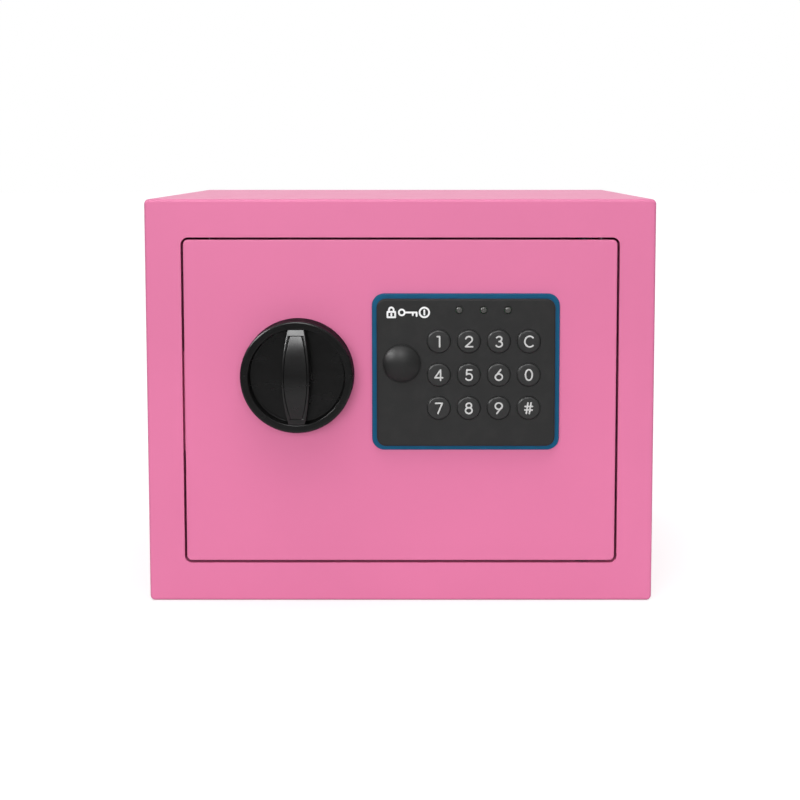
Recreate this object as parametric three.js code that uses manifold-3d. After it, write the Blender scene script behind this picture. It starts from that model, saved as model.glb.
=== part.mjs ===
// A small electronic safe used as a money box: a folded steel cabinet, a flush door on two
// hinge pins, a turning knob that throws two bolts, a keypad, and an emergency key lock.
// Millimetres, +Z up, the front faces -Y, and the origin is the middle of the underside.
import * as THREE from 'three';
import { mergeVertices } from 'three/addons/utils/BufferGeometryUtils.js';
import Module from 'manifold-3d';

const wasm = await Module();
wasm.setup();

// ---------------------------------------------------------------- driving dimensions
const GAP = 0.3;              // clearance left between two pieces that touch
const SIDES = 24;             // facets on a middling cylinder
const SMALL_SIDES = 16;       // facets on a small one

const BODY = { width: 250, depth: 200, height: 200, wall: 2, cornerR: 2.5, edgeR: 1.5 };
const FRONT = -BODY.depth / 2;
const BACK = BODY.depth / 2;
const OPENING = { half: 107.35, bottom: 19.3, top: 181.3, cornerR: 3.6, lip: 2, lipDepth: 8 };
const ANCHOR = { x: 60, y: 20, z: 100, r: 5 };
const MAT = { thickness: 2.5, holeR: 7 };

const DOOR = { gap: 1.1, thickness: 2.5, edgeR: 0.7 };
DOOR.half = OPENING.half - DOOR.gap;
DOOR.bottom = OPENING.bottom + DOOR.gap;
DOOR.top = OPENING.top - DOOR.gap;
DOOR.back = FRONT + DOOR.thickness;

const HINGE = { x: DOOR.half - 16, y: FRONT + 5.4, pinR: 2, lugLength: 18 };
const BOX = { left: -98, right: 84, bottom: 28, top: 172, wall: 1.5, flange: 10 };
BOX.front = DOOR.back + GAP;
BOX.back = FRONT + 38;
const COVER = { thickness: 1.2, inset: 0.5 };
COVER.front = BOX.back + GAP;
COVER.back = COVER.front + COVER.thickness;
const SCREW = { inset: 6.5, r: 1.9, headR: 3.6, headHeight: 2.2, length: 6 };

const KNOB = {
  x: -50, z: 114.4, r: 27.5, dishR: 23.3, back: FRONT - 0.6, rim: FRONT - 14, floor: FRONT - 8.6,
};
const GRIP = {
  footMiddle: 6.8, footTip: 4.2, footLength: 24.2, faceMiddle: 6.3, faceTip: 3.9, faceLength: 23.6,
  peak: FRONT - 19.5, end: FRONT - 13.6, softness: 0.5, steps: 24,
};
const INSERT = { side: 1.15, length: 20.2, depth: 0.8, gap: 0.35 };
const SPINDLE = { r: 4, front: FRONT - 9.7, back: FRONT + 9 };
const CRANK = { r: 13, arm: 8.5, pinR: 2.2, front: FRONT + 6, back: FRONT + 8.5, pinBack: FRONT + 13 };

const BOLT = { r: 6, y: FRONT + 17, zLow: 60, zHigh: 140, left: -104, throw: 2 * 8.5 * Math.SQRT1_2 };
const CARRIAGE = { left: -84, front: FRONT + 9.8, thickness: 2, bottom: 48, top: 152, spineRight: -52 };
CARRIAGE.back = CARRIAGE.front + CARRIAGE.thickness;
const STUD = { x: -70, zLow: 75, zHigh: 140, r: 2.5, back: FRONT + 14 };

const PAD = { x: 32.1, z: 115.3, width: 92, height: 77.4, cornerR: 6, front: FRONT - 1.9 };
const FACE = { width: 87.2, height: 72.6, cornerR: 4.4, wall: 1.9, back: FRONT - 2.2, front: FRONT - 4.8 };
FACE.hollow = FACE.front + 1.4;
const BOARD = { front: FRONT - 1.1, back: FRONT - 0.3 };
const KEY = { x: 18.9, z: 130.8, pitchX: 14.63, pitchZ: 16.4, r: 5.6, holeR: 5.9, flangeR: 6.6, proud: 0.9 };
const KEY_ROWS = [['1', '2', '3', 'C'], ['4', '5', '6', '0'], ['7', '8', '9', 'hash']];
const LED = { x: 28.8, z: 146.2, pitch: 11.85, r: 1.6, proud: 0.7 };
const LED_NAMES = ['led_left', 'led_middle', 'led_right'];

const LOCK = { x: 0.8, z: 120, r: 9.4, flangeR: 10.6, windowR: 8, plugR: 5.5, capR: 9.2, capHeight: 4.6 };
LOCK.front = FRONT - 2;
LOCK.back = FRONT + 28;
const CABLE_HOLE = { x: 48, z: 106, r: 5 };

const BATTERY = { r: 7.1, length: 50.5, count: 4, pitch: 15, y: FRONT + 27 };
const TRAY = { left: 8, right: 72, bottom: 40, top: 98, front: FRONT + 18, back: FRONT + 36, wall: 1.5 };
const SOLENOID = { x: -37.5, y: FRONT + 18, bottom: 84, top: 106, coilR: 8, plungerR: 3 };
const RESET = { x: 62, z: 150, r: 3, half: 6 };

// ---------------------------------------------------------------- materials
const paint = (color, roughness, metalness = 0) =>
  new THREE.MeshStandardMaterial({ color, roughness, metalness });
const MATERIALS = {
  pinkSteel: paint(0xe67fa9, 0.45),
  blackPlastic: paint(0x202020, 0.35),
  keypadPlastic: paint(0x363636, 0.6),
  keyRubber: paint(0x333333, 0.65),
  blueBezel: paint(0x1b5676, 0.4),
  smokedLens: paint(0x4a4a48, 0.25),
  steel: paint(0xb4b6b8, 0.3, 1),
  zincSteel: paint(0xa9a79c, 0.4, 1),
  brass: paint(0xb08d4a, 0.3, 1),
  nylon: paint(0x1c1c1e, 0.5),
  felt: paint(0x2b2b2d, 0.95),
  boardGreen: paint(0x1f5a35, 0.4),
  cellWrap: paint(0x2f3a8c, 0.3),
  coilTape: paint(0xc27a2c, 0.5),
  redPlastic: paint(0xb3201e, 0.35),
  leadRubber: paint(0x222224, 0.6),
};

// ---------------------------------------------------------------- solids
/** A closed three.js geometry as a manifold-3d solid. */
function solid(geometry) {
  const loose = geometry.index ? geometry.toNonIndexed() : geometry;
  const points = new THREE.BufferGeometry().setAttribute('position', loose.getAttribute('position'));
  const merged = mergeVertices(points, 1e-4);
  return new wasm.Manifold(new wasm.Mesh({
    numProp: 3,
    vertProperties: merged.attributes.position.array,
    triVerts: new Uint32Array(merged.index.array),
  }));
}

/** A box between two corners. */
function block(x0, x1, y0, y1, z0, z1) {
  const geometry = new THREE.BoxGeometry(x1 - x0, y1 - y0, z1 - z0);
  return solid(geometry.translate((x0 + x1) / 2, (y0 + y1) / 2, (z0 + z1) / 2));
}

/** A cylinder along Y, from one depth to another. */
function rodY(r, y0, y1, x = 0, z = 0, sides = SIDES) {
  const geometry = new THREE.CylinderGeometry(r, r, y1 - y0, sides);
  return solid(geometry.translate(x, (y0 + y1) / 2, z));
}

/** A cylinder along X. */
function rodX(r, x0, x1, y, z, sides = SIDES) {
  const geometry = new THREE.CylinderGeometry(r, r, x1 - x0, sides);
  return solid(geometry.rotateZ(Math.PI / 2).translate((x0 + x1) / 2, y, z));
}

/** A cylinder along Z. */
function rodZ(r, z0, z1, x, y, sides = SIDES) {
  const geometry = new THREE.CylinderGeometry(r, r, z1 - z0, sides);
  return solid(geometry.rotateX(Math.PI / 2).translate(x, y, (z0 + z1) / 2));
}

/** A shape drawn in X and Z, given thickness from y0 back to y1. */
function plate(shape, y0, y1, bevel = 0, curveSegments = 5) {
  const geometry = new THREE.ExtrudeGeometry(shape, {
    depth: y1 - y0 - 2 * bevel, curveSegments, bevelEnabled: bevel > 0,
    bevelThickness: bevel, bevelSize: bevel, bevelOffset: -bevel, bevelSegments: 3,
  });
  return solid(geometry.rotateX(Math.PI / 2).translate(0, y1 - bevel, 0));
}

/** A shape drawn in Y and Z, given thickness along X. */
function slabX(shape, x0, x1, curveSegments = 16) {
  const geometry = new THREE.ExtrudeGeometry(shape, { depth: x1 - x0, curveSegments, bevelEnabled: false });
  const turn = new THREE.Matrix4().makeBasis(
    new THREE.Vector3(0, 1, 0), new THREE.Vector3(0, 0, 1), new THREE.Vector3(1, 0, 0));
  return solid(geometry.applyMatrix4(turn).translate(x0, 0, 0));
}

/** A profile of [radius, y] points turned about the Y axis. */
function turned(profile, sides = SIDES) {
  const points = profile.map(([r, y]) => new THREE.Vector2(r, y));
  const made = solid(new THREE.LatheGeometry(points, sides));
  return made.volume() > 0 ? made : solid(new THREE.LatheGeometry(points.reverse(), sides));
}

/** A closed skin through rings of points, each ring with the same number of points. */
function loft(rings) {
  const count = rings[0].length;
  const ends = [rings[0], rings[rings.length - 1]].map((ring) =>
    [0, 1, 2].map((axis) => ring.reduce((sum, point) => sum + point[axis], 0) / count));
  const points = [...rings.flat(), ...ends];
  const [firstEnd, lastEnd] = [points.length - 2, points.length - 1];
  const lastRing = (rings.length - 1) * count;
  const faces = [];
  for (let i = 0; i < count; i += 1) {
    const next = (i + 1) % count;
    faces.push(firstEnd, next, i, lastEnd, lastRing + i, lastRing + next);
    for (let base = 0; base < lastRing; base += count) {
      faces.push(base + i, base + next, base + count + i, base + next, base + count + next, base + count + i);
    }
  }
  const skin = (order) => {
    const geometry = new THREE.BufferGeometry();
    geometry.setAttribute('position', new THREE.Float32BufferAttribute(points.flat(), 3));
    geometry.setIndex(order);
    return solid(geometry);
  };
  const made = skin(faces);
  return made.volume() > 0 ? made : skin([...faces].reverse());
}

/** A rectangle with round corners, drawn about (x, z). */
function roundedRectangle(width, height, r, x = 0, z = 0) {
  const [left, right, low, high] = [x - width / 2, x + width / 2, z - height / 2, z + height / 2];
  const shape = new THREE.Shape();
  shape.moveTo(left + r, low);
  shape.lineTo(right - r, low);
  shape.absarc(right - r, low + r, r, -Math.PI / 2, 0);
  shape.lineTo(right, high - r);
  shape.absarc(right - r, high - r, r, 0, Math.PI / 2);
  shape.lineTo(left + r, high);
  shape.absarc(left + r, high - r, r, Math.PI / 2, Math.PI);
  shape.lineTo(left, low + r);
  shape.absarc(left + r, low + r, r, Math.PI, Math.PI * 1.5);
  return shape;
}

/** A slot with round ends, lying along X or along Z. */
function slotRectangle(x0, x1, z0, z1) {
  const r = Math.min(x1 - x0, z1 - z0) / 2 - 0.01;
  return roundedRectangle(x1 - x0, z1 - z0, r, (x0 + x1) / 2, (z0 + z1) / 2);
}

/** A round tube swept along hand-placed points. */
function lead(points, r) {
  const path = new THREE.CatmullRomCurve3(points.map((p) => new THREE.Vector3(...p)));
  const section = new THREE.Shape();
  section.absarc(0, 0, r, 0, Math.PI * 2);
  return solid(new THREE.ExtrudeGeometry(section, {
    steps: points.length * 3, extrudePath: path, curveSegments: 5, bevelEnabled: false,
  }));
}

/** Several solids joined. */
const join = (first, ...rest) => rest.reduce((whole, piece) => whole.add(piece), first);
/** A solid with others cut away. */
const cut = (whole, ...tools) => tools.reduce((left, tool) => left.subtract(tool), whole);

/** A named mesh from a solid, placed at a point. */
function piece(name, material, made, at = [0, 0, 0]) {
  const mesh = made.getMesh();
  const positions = new Float32Array(mesh.numVert * 3);
  for (let i = 0; i < mesh.numVert; i += 1) {
    positions.set(mesh.vertProperties.subarray(i * mesh.numProp, i * mesh.numProp + 3), i * 3);
  }
  const geometry = new THREE.BufferGeometry();
  geometry.setAttribute('position', new THREE.BufferAttribute(positions, 3));
  geometry.setIndex(new THREE.BufferAttribute(new Uint32Array(mesh.triVerts), 1));
  geometry.computeVertexNormals();
  const placed = new THREE.Mesh(geometry, MATERIALS[material]);
  placed.name = name;
  placed.position.set(...at);
  return placed;
}

/** A group of pieces that belong together. */
function group(...pieces) {
  const made = new THREE.Group();
  made.add(...pieces);
  return made;
}

// ---------------------------------------------------------------- cabinet
/** The folded wrap with its front flange and the lip round the door opening. */
function bodyShell() {
  const { width, height, wall, cornerR, edgeR } = BODY;
  const middle = height / 2;
  const outside = plate(roundedRectangle(width, height, cornerR, 0, middle), FRONT, BACK + 10, edgeR);
  const inside = plate(
    roundedRectangle(width - 2 * wall, height - 2 * wall, cornerR - wall / 2, 0, middle),
    FRONT + wall, BACK + 20);
  const beyondBack = block(-width, width, BACK, BACK + 20, -10, height + 10);
  const openingHeight = OPENING.top - OPENING.bottom;
  const openingMiddle = (OPENING.top + OPENING.bottom) / 2;
  const opening = plate(
    roundedRectangle(2 * OPENING.half, openingHeight, OPENING.cornerR, 0, openingMiddle),
    FRONT - 5, FRONT + 20);
  const lip = plate(
    roundedRectangle(2 * (OPENING.half + OPENING.lip), openingHeight + 2 * OPENING.lip,
      OPENING.cornerR + OPENING.lip, 0, openingMiddle),
    FRONT + wall / 2, FRONT + wall + OPENING.lipDepth);
  const pinHoles = [OPENING.top, OPENING.bottom].map((z) =>
    rodZ(HINGE.pinR + 1.2, z - 3, z + 3, HINGE.x, HINGE.y, SMALL_SIDES));
  const anchorHoles = [-ANCHOR.x, ANCHOR.x].map((x) => rodZ(ANCHOR.r, -5, wall + 5, x, ANCHOR.y));
  return cut(join(cut(outside, inside, beyondBack), lip), opening, ...pinHoles, ...anchorHoles);
}

/** The back sheet with its two anchor holes. */
function backPanel() {
  const { width, height, wall } = BODY;
  const sheet = plate(
    roundedRectangle(width - 2 * (wall + GAP), height - 2 * (wall + GAP), 1, 0, height / 2),
    BACK - wall, BACK);
  return cut(sheet, ...[-ANCHOR.x, ANCHOR.x].map((x) => rodY(ANCHOR.r, BACK - 10, BACK + 10, x, ANCHOR.z)));
}

/** The felt mat on the floor of the safe, holed over the anchor holes. */
function floorMat() {
  const half = BODY.width / 2 - BODY.wall - 2;
  const low = BODY.wall + GAP;
  const mat = block(-half, half, FRONT + 12, BACK - 4, low, low + MAT.thickness);
  return cut(mat, ...[-ANCHOR.x, ANCHOR.x].map((x) => rodZ(MAT.holeR, -5, 20, x, ANCHOR.y)));
}

/** The strip behind the free edge of the door, which stops it flush with the frame. */
function doorStop() {
  return block(-OPENING.half + GAP, -OPENING.half + GAP + 2.5, DOOR.back + 0.6, DOOR.back + 2.5, 75, 125);
}

/** A flanged nylon bush for a hinge pin, its flange towards the door. */
function hingeBush(edge, up) {
  const flangeFar = edge - up * GAP;
  const flangeNear = flangeFar - up * 0.6;
  const sleeveEnd = edge + up * 2.6;
  const sorted = (a, b) => [Math.min(a, b), Math.max(a, b)];
  const flange = rodZ(HINGE.pinR + 2.2, ...sorted(flangeFar, flangeNear), HINGE.x, HINGE.y, SMALL_SIDES);
  const sleeve = rodZ(HINGE.pinR + 0.9, ...sorted(flangeNear, sleeveEnd), HINGE.x, HINGE.y, SMALL_SIDES);
  const bore = rodZ(HINGE.pinR + 0.2, edge - 10, edge + 10, HINGE.x, HINGE.y, SMALL_SIDES);
  return cut(join(flange, sleeve), bore);
}

// ---------------------------------------------------------------- door
/** The door plate, with the two welded studs that guide the bolt carriage. */
function doorPanel() {
  const height = DOOR.top - DOOR.bottom;
  const middle = (DOOR.top + DOOR.bottom) / 2;
  const sheet = plate(
    roundedRectangle(2 * DOOR.half, height, OPENING.cornerR - DOOR.gap, 0, middle),
    FRONT, DOOR.back, DOOR.edgeR);
  const studs = [STUD.zLow, STUD.zHigh].map((z) => rodY(STUD.r, DOOR.back - 1, STUD.back, STUD.x, z, SMALL_SIDES));
  return cut(join(sheet, ...studs),
    rodY(SPINDLE.r + 0.5, FRONT - 5, DOOR.back + 5, KNOB.x, KNOB.z),
    rodY(LOCK.r + 0.4, FRONT - 5, DOOR.back + 5, LOCK.x, LOCK.z),
    rodY(CABLE_HOLE.r, FRONT - 5, DOOR.back + 5, CABLE_HOLE.x, CABLE_HOLE.z));
}

/** The four cover screws' places, in X and Z. */
const SCREW_PLACES = [BOX.left + SCREW.inset, BOX.right - SCREW.inset].flatMap((x) =>
  [BOX.bottom + SCREW.inset, BOX.top - SCREW.inset].map((z) => [x, z]));

/** The welded frame behind the door plate that holds the lock work and carries the cover. */
function doorBox() {
  const { left, right, bottom, top, wall, flange, front, back } = BOX;
  const whole = block(left, right, front, back, bottom, top);
  const room = block(left + wall, right - wall, front - 5, back - wall, bottom + wall, top - wall);
  const mouth = block(left + flange, right - flange, back - 5, back + 5, bottom + flange, top - flange);
  const boltHoles = [BOLT.zLow, BOLT.zHigh].map((z) => rodX(BOLT.r + 0.5, left - 5, left + 5, BOLT.y, z));
  const screwHoles = SCREW_PLACES.map(([x, z]) => rodY(SCREW.r + 0.4, back - 5, back + 5, x, z, SMALL_SIDES));
  return cut(whole, room, mouth, ...boltHoles, ...screwHoles);
}

/** The sheet that covers the lock work, open at the battery tray and the reset button. */
function doorBackCover() {
  const { left, right, bottom, top } = BOX;
  const { inset, front, back } = COVER;
  const sheet = block(left + inset, right - inset, front, back, bottom + inset, top - inset);
  const screwHoles = SCREW_PLACES.map(([x, z]) => rodY(SCREW.r + 0.4, front - 5, back + 5, x, z, SMALL_SIDES));
  return cut(sheet,
    block(TRAY.left + 1, TRAY.right - 1, front - 5, back + 5, TRAY.bottom + 1, TRAY.top - 1),
    rodY(RESET.r + 0.4, front - 5, back + 5, RESET.x, RESET.z, SMALL_SIDES), ...screwHoles);
}

/** A cross-head pan screw along Y, its head at y = 0 and above. */
function coverScrew() {
  const { r, headR, headHeight, length } = SCREW;
  const body = turned([[0, -length], [r, -length], [r, 0], [headR, 0], [headR, headHeight * 0.45],
    [headR * 0.8, headHeight * 0.85], [headR * 0.4, headHeight], [0, headHeight]], SMALL_SIDES);
  const cross = [[1.7, 0.35], [0.35, 1.7]].map(([x, z]) => block(-x, x, headHeight - 1.2, headHeight + 1, -z, z));
  return cut(body, ...cross);
}

/** A welded lug that holds a hinge pin, from one height to another. */
function hingeLug(z0, z1) {
  const lug = block(HINGE.x - 4.3, HINGE.x + 4.3, DOOR.back + GAP, HINGE.y + 4, z0, z1);
  return cut(lug, rodZ(HINGE.pinR + GAP, z0 - 1, z1 + 1, HINGE.x, HINGE.y, SMALL_SIDES));
}

/** A hinge pin with slightly rounded ends. */
function hingePin(z0, z1) {
  return rodZ(HINGE.pinR, z0, z1, HINGE.x, HINGE.y, SMALL_SIDES);
}

// ---------------------------------------------------------------- keypad
/** Every key as [name, x, z]. */
const KEYS = KEY_ROWS.flatMap((row, down) => row.map((label, across) =>
  [`key_${label}`, KEY.x + across * KEY.pitchX, KEY.z - down * KEY.pitchZ]));
/** Every lamp as [name, x]. */
const LEDS = LED_NAMES.map((name, i) => [name, LED.x + i * LED.pitch]);

/** The coloured surround that lies on the door and carries the keypad face. */
function keypadBezel() {
  const { x, z, width, height, cornerR, front } = PAD;
  const outline = plate(roundedRectangle(width, height, cornerR, x, z), front, FRONT - GAP, 0.5);
  return cut(outline, plate(roundedRectangle(width - 7.6, height - 7.6, 3, x, z), front - 5, FRONT + 5));
}

/** The keypad's circuit board, notched round the emergency lock. */
function keypadBoard() {
  const outline = roundedRectangle(PAD.width - 10, PAD.height - 10, 1, PAD.x, PAD.z);
  return cut(plate(outline, BOARD.front, BOARD.back),
    rodY(LOCK.flangeR + 0.6, FRONT - 5, FRONT + 5, LOCK.x, LOCK.z));
}

/** The keypad's front moulding, holed for the keys, the lamps and the emergency lock. */
function keypadFace() {
  const { width, height, cornerR, wall, front, back, hollow } = FACE;
  const { x, z } = PAD;
  const inner = roundedRectangle(width - 2 * wall, height - 2 * wall, cornerR - wall, x, z);
  return cut(plate(roundedRectangle(width, height, cornerR, x, z), front, back, 0.9),
    plate(inner, hollow, back + 5),
    rodY(LOCK.windowR, front - 5, back + 5, LOCK.x, LOCK.z),
    ...KEYS.map(([, kx, kz]) => rodY(KEY.holeR, front - 5, back + 5, kx, kz)),
    ...LEDS.map(([, lx]) => rodY(LED.r + GAP, front - 5, back + 5, lx, LED.z, SMALL_SIDES)));
}

/** A push key along Y: a low dome in front and a wider foot that the face keeps in. */
function pushKey() {
  const top = FACE.front - KEY.proud;
  const foot = FACE.hollow + GAP;
  return turned([[0, foot + 0.7], [KEY.flangeR, foot + 0.7], [KEY.flangeR, foot], [KEY.r, foot],
    [KEY.r, top + 0.9], [KEY.r * 0.93, top + 0.35], [KEY.r * 0.6, top + 0.06], [0, top]]);
}

/** A round-nosed signal lamp along Y. */
function lamp() {
  const top = FACE.front - LED.proud;
  const foot = BOARD.front - GAP;
  return turned([[0, foot], [LED.r, foot], [LED.r, top + 0.9],
    [LED.r * 0.75, top + 0.35], [LED.r * 0.4, top + 0.08], [0, top]], SMALL_SIDES);
}

// ---------------------------------------------------------------- knob
/**
 * A bar along Z that follows the arch of the grip. The foot is [half width in the middle, half
 * width at the tips, half length, depth below the arch or null for the dish], and so is the face.
 */
function gripBar(foot, face, softness) {
  const rise = GRIP.end - GRIP.peak;
  const rings = [];
  for (let i = 0; i <= GRIP.steps; i += 1) {
    const u = (2 * i) / GRIP.steps - 1;
    const at = ([middle, tip, length, below]) => {
      const arch = GRIP.peak + rise * ((length * u) / GRIP.faceLength) ** 2;
      return {
        half: middle - (middle - tip) * u * u, z: length * u, y: below === null ? KNOB.floor + 1 : arch + below,
      };
    };
    const [low, high] = [at(foot), at(face)];
    const shoulder = high.half + softness * 0.25;
    rings.push([[-low.half, low.y, low.z], [-shoulder, high.y + softness, high.z],
      [-high.half + softness, high.y, high.z], [high.half - softness, high.y, high.z],
      [shoulder, high.y + softness, high.z], [low.half, low.y, low.z]]);
  }
  return loft(rings);
}

/** The dished dial with the grip bar across it, drawn about the spindle. */
function knobDial() {
  const { r, dishR, back, rim, floor } = KNOB;
  const { side, length, depth, gap } = INSERT;
  const dish = turned([[0, back], [r - 0.8, back], [r, back - 1], [r, rim + 2], [r - 0.6, rim + 0.6],
    [r - 1.6, rim], [dishR + 0.4, rim], [dishR, rim + 0.5], [dishR, floor - 0.8], [dishR - 0.8, floor],
    [0, floor]], 48);
  const bar = gripBar([GRIP.footMiddle, GRIP.footTip, GRIP.footLength, null],
    [GRIP.faceMiddle, GRIP.faceTip, GRIP.faceLength, 0], GRIP.softness);
  const wide = [GRIP.faceMiddle - side + gap, GRIP.faceTip - side + gap, length + gap];
  const pocket = gripBar([...wide, depth + gap], [...wide, -3], 0.01);
  return cut(join(dish, bar), pocket, rodY(SPINDLE.r + GAP, SPINDLE.front - GAP, back + 5));
}

/** The insert let into the front of the grip bar. */
function knobGripCap() {
  const { side, length, depth } = INSERT;
  const wide = [GRIP.faceMiddle - side, GRIP.faceTip - side, length];
  return gripBar([...wide, depth], [...wide, 0], 0.15);
}

/** The spindle that joins the dial to the crank. */
function knobSpindle() {
  return rodY(SPINDLE.r, SPINDLE.front, SPINDLE.back);
}

/** The crank disc with the pin that drives the bolt carriage, its pin up and to the right. */
function knobCrank() {
  const arm = CRANK.arm * Math.SQRT1_2;
  const disc = rodY(CRANK.r, CRANK.front, CRANK.back);
  const pin = rodY(CRANK.pinR, CRANK.back - 1, CRANK.pinBack, arm, arm, SMALL_SIDES);
  return cut(join(disc, pin), rodY(SPINDLE.r + GAP, CRANK.front - 5, SPINDLE.back + GAP));
}

// ---------------------------------------------------------------- bolt work
/** The sliding carriage: a spine on two guide studs, the crank's tongue and the blocking shelf. */
function boltCarriage() {
  const { left, front, back, bottom, top, spineRight } = CARRIAGE;
  const pinX = KNOB.x + CRANK.arm * Math.SQRT1_2;
  const slotHalf = CRANK.pinR + 0.55;
  const spine = block(left, spineRight, front, back, bottom, top);
  const fold = block(left, left + 2, front, BOLT.y + BOLT.r + 1, bottom, top);
  const crankTongue = block(spineRight - 1, -34, front, back, 108, 130);
  const blockTongue = block(spineRight - 1, -30, front, back, 62, 80);
  const shelf = block(spineRight - 1, -30, front, SOLENOID.y + 4, 78, 80);
  const pinSlot = plate(
    slotRectangle(pinX - slotHalf, pinX + slotHalf, KNOB.z + 3.2, KNOB.z + CRANK.arm + CRANK.pinR + 0.6),
    front - 5, back + 5);
  const studSlots = [STUD.zLow, STUD.zHigh].map((z) => plate(
    slotRectangle(STUD.x - STUD.r - 0.5, STUD.x + BOLT.throw + STUD.r + 0.5, z - STUD.r - 0.3, z + STUD.r + 0.3),
    front - 5, back + 5));
  return cut(join(spine, fold, crankTongue, blockTongue, shelf), pinSlot, ...studSlots);
}

/** A round bolt, chamfered where it meets the frame. */
function lockingBolt(z) {
  const length = CARRIAGE.left - GAP - BOLT.left;
  const bolt = turned([[0, 0], [BOLT.r, 0], [BOLT.r, length - 1.2], [BOLT.r - 1.2, length], [0, length]]);
  return bolt.rotate([0, 0, 90]).translate([BOLT.left + length, BOLT.y, z]);
}

// ---------------------------------------------------------------- emergency lock
/** The lock's threaded barrel with its front flange. */
function lockHousing() {
  const { x, z, r, flangeR, plugR, front, back } = LOCK;
  return cut(join(rodY(r, front, back, x, z), rodY(flangeR, front, FRONT - GAP, x, z)),
    rodY(plugR + GAP, front - 5, back + 5, x, z));
}

/** The hexagon nut that clamps the barrel to the door. */
function lockNut() {
  const { x, z, r } = LOCK;
  return cut(rodY(13.5, DOOR.back + GAP, DOOR.back + 4.3, x, z, 6), rodY(r + GAP, FRONT, FRONT + 20, x, z));
}

/** The plug that turns in the barrel, with its keyway and the tail for the cam. */
function lockPlug() {
  const { x, z, plugR, front, back } = LOCK;
  const plug = join(rodY(plugR, front - 0.4, back + 0.5, x, z), rodY(2.8, back, back + 5, x, z, SMALL_SIDES));
  return cut(plug, block(x - 0.9, x + 0.9, front - 5, front + 12, z - 4, z + 4));
}

/** The cam on the plug's tail, hanging down. */
function lockCam() {
  const { x, z, back } = LOCK;
  const [near, far] = [back + 0.8, back + 2.8];
  const arm = plate(slotRectangle(x - 4, x + 4, z - 22, z + 5.5), near, far);
  return cut(arm, rodY(2.8 + GAP, near - 5, far + 5, x, z, SMALL_SIDES));
}

/** The domed cover that hides the keyhole, with the hollow stub that snaps into the face. */
function lockCap() {
  const { capR, capHeight, windowR } = LOCK;
  const seat = FACE.front - GAP;
  const stubR = windowR - 0.4;
  return turned([[0, seat + 0.2], [stubR - 1.4, seat + 0.2], [stubR - 1.4, seat + 2.2], [stubR, seat + 2.2],
    [stubR, seat], [capR, seat], [capR, seat - 0.7], [capR * 0.93, seat - capHeight * 0.42],
    [capR * 0.76, seat - capHeight * 0.72], [capR * 0.48, seat - capHeight * 0.92], [0, seat - capHeight]], 32);
}

// ---------------------------------------------------------------- power and electrics
/** The battery tray, open towards the inside of the safe. */
function batteryBox() {
  const { left, right, bottom, top, front, back, wall } = TRAY;
  return cut(block(left, right, front, back, bottom, top),
    block(left + wall, right - wall, front + wall, back + 5, bottom + wall, top - wall));
}

/** One AA cell standing along Z, with its raised pole. */
function batteryCell(x, flipped) {
  const low = TRAY.bottom + TRAY.wall + 2;
  const poleR = 2.7;
  const can = rodZ(BATTERY.r, low + (flipped ? 1.5 : 0), low + BATTERY.length - (flipped ? 0 : 1.5),
    x, BATTERY.y, SMALL_SIDES);
  const pole = rodZ(poleR, low + (flipped ? 0 : 5), low + BATTERY.length - (flipped ? 5 : 0), x, BATTERY.y, 12);
  return join(can, pole);
}

/** The lid of the battery tray, with a ridged thumb grip. */
function batteryCover() {
  const { left, right, bottom, top } = TRAY;
  const lid = block(left + 1.4, right - 1.4, COVER.front - 0.3, COVER.back + 0.3, bottom + 1.4, top - 1.4);
  const ridges = [0, 1, 2, 3].map((i) =>
    block((left + right) / 2 - 8, (left + right) / 2 + 8, COVER.back, COVER.back + 1.2, top - 9 - 2.4 * i, top - 8 - 2.4 * i));
  return join(lid, ...ridges);
}

/** The U-shaped bracket of the solenoid, with the foot that stands on the door. */
function solenoidFrame() {
  const { x, y, bottom, top, coilR, plungerR } = SOLENOID;
  const [left, right, near, far] = [x - coilR - 1.5, x + coilR + 1.5, y - coilR - 0.8, y + coilR + 2.5];
  const ends = [[bottom, bottom + 2], [top - 2, top]].map(([z0, z1]) => block(left, right, near, far, z0, z1));
  const web = block(left, right, far - 2, far, bottom, top);
  const foot = block(left, right, DOOR.back + GAP, near + 1, bottom, bottom + 2);
  return cut(join(...ends, web, foot), rodZ(plungerR + 0.5, bottom - 5, top + 5, x, y, SMALL_SIDES));
}

/** The wound coil inside the bracket. */
function solenoidCoil() {
  const { x, y, bottom, top, coilR, plungerR } = SOLENOID;
  return cut(rodZ(coilR, bottom + 2 + GAP, top - 2 - GAP, x, y),
    rodZ(plungerR + 0.5, bottom, top, x, y, SMALL_SIDES));
}

/** The plunger that rests on the carriage's shelf, with the collar above the bracket. */
function solenoidPlunger() {
  const { x, y, top, plungerR } = SOLENOID;
  return join(rodZ(plungerR, 80.4, top + 8, x, y, SMALL_SIDES), rodZ(4.6, top + 5, top + 7, x, y, SMALL_SIDES));
}

/** The switch behind the reset button, on its post. */
function resetSwitch() {
  const { x, z, r, half } = RESET;
  return cut(block(x - half, x + half, DOOR.back + GAP, FRONT + 32, z - half, z + half),
    rodY(r + 0.4, FRONT + 29, FRONT + 40, x, z, SMALL_SIDES));
}

/** The reset button along Y, reached through the back cover. */
function resetButton() {
  const { r } = RESET;
  const tip = COVER.back + 0.8;
  return turned([[0, FRONT + 31], [r, FRONT + 31], [r, tip - 0.6], [r - 0.6, tip], [0, tip]], SMALL_SIDES);
}

/** The pair of wires from the keypad to the battery tray. */
function batteryLead() {
  const entry = TRAY.top + GAP;
  return lead([[50, FRONT, 108], [50, FRONT + 5, 108], [50, FRONT + 15, 107.5], [50, FRONT + 23, 104.5],
    [50, FRONT + 25.5, 101], [50, FRONT + 26, entry]], 1.6);
}

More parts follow.
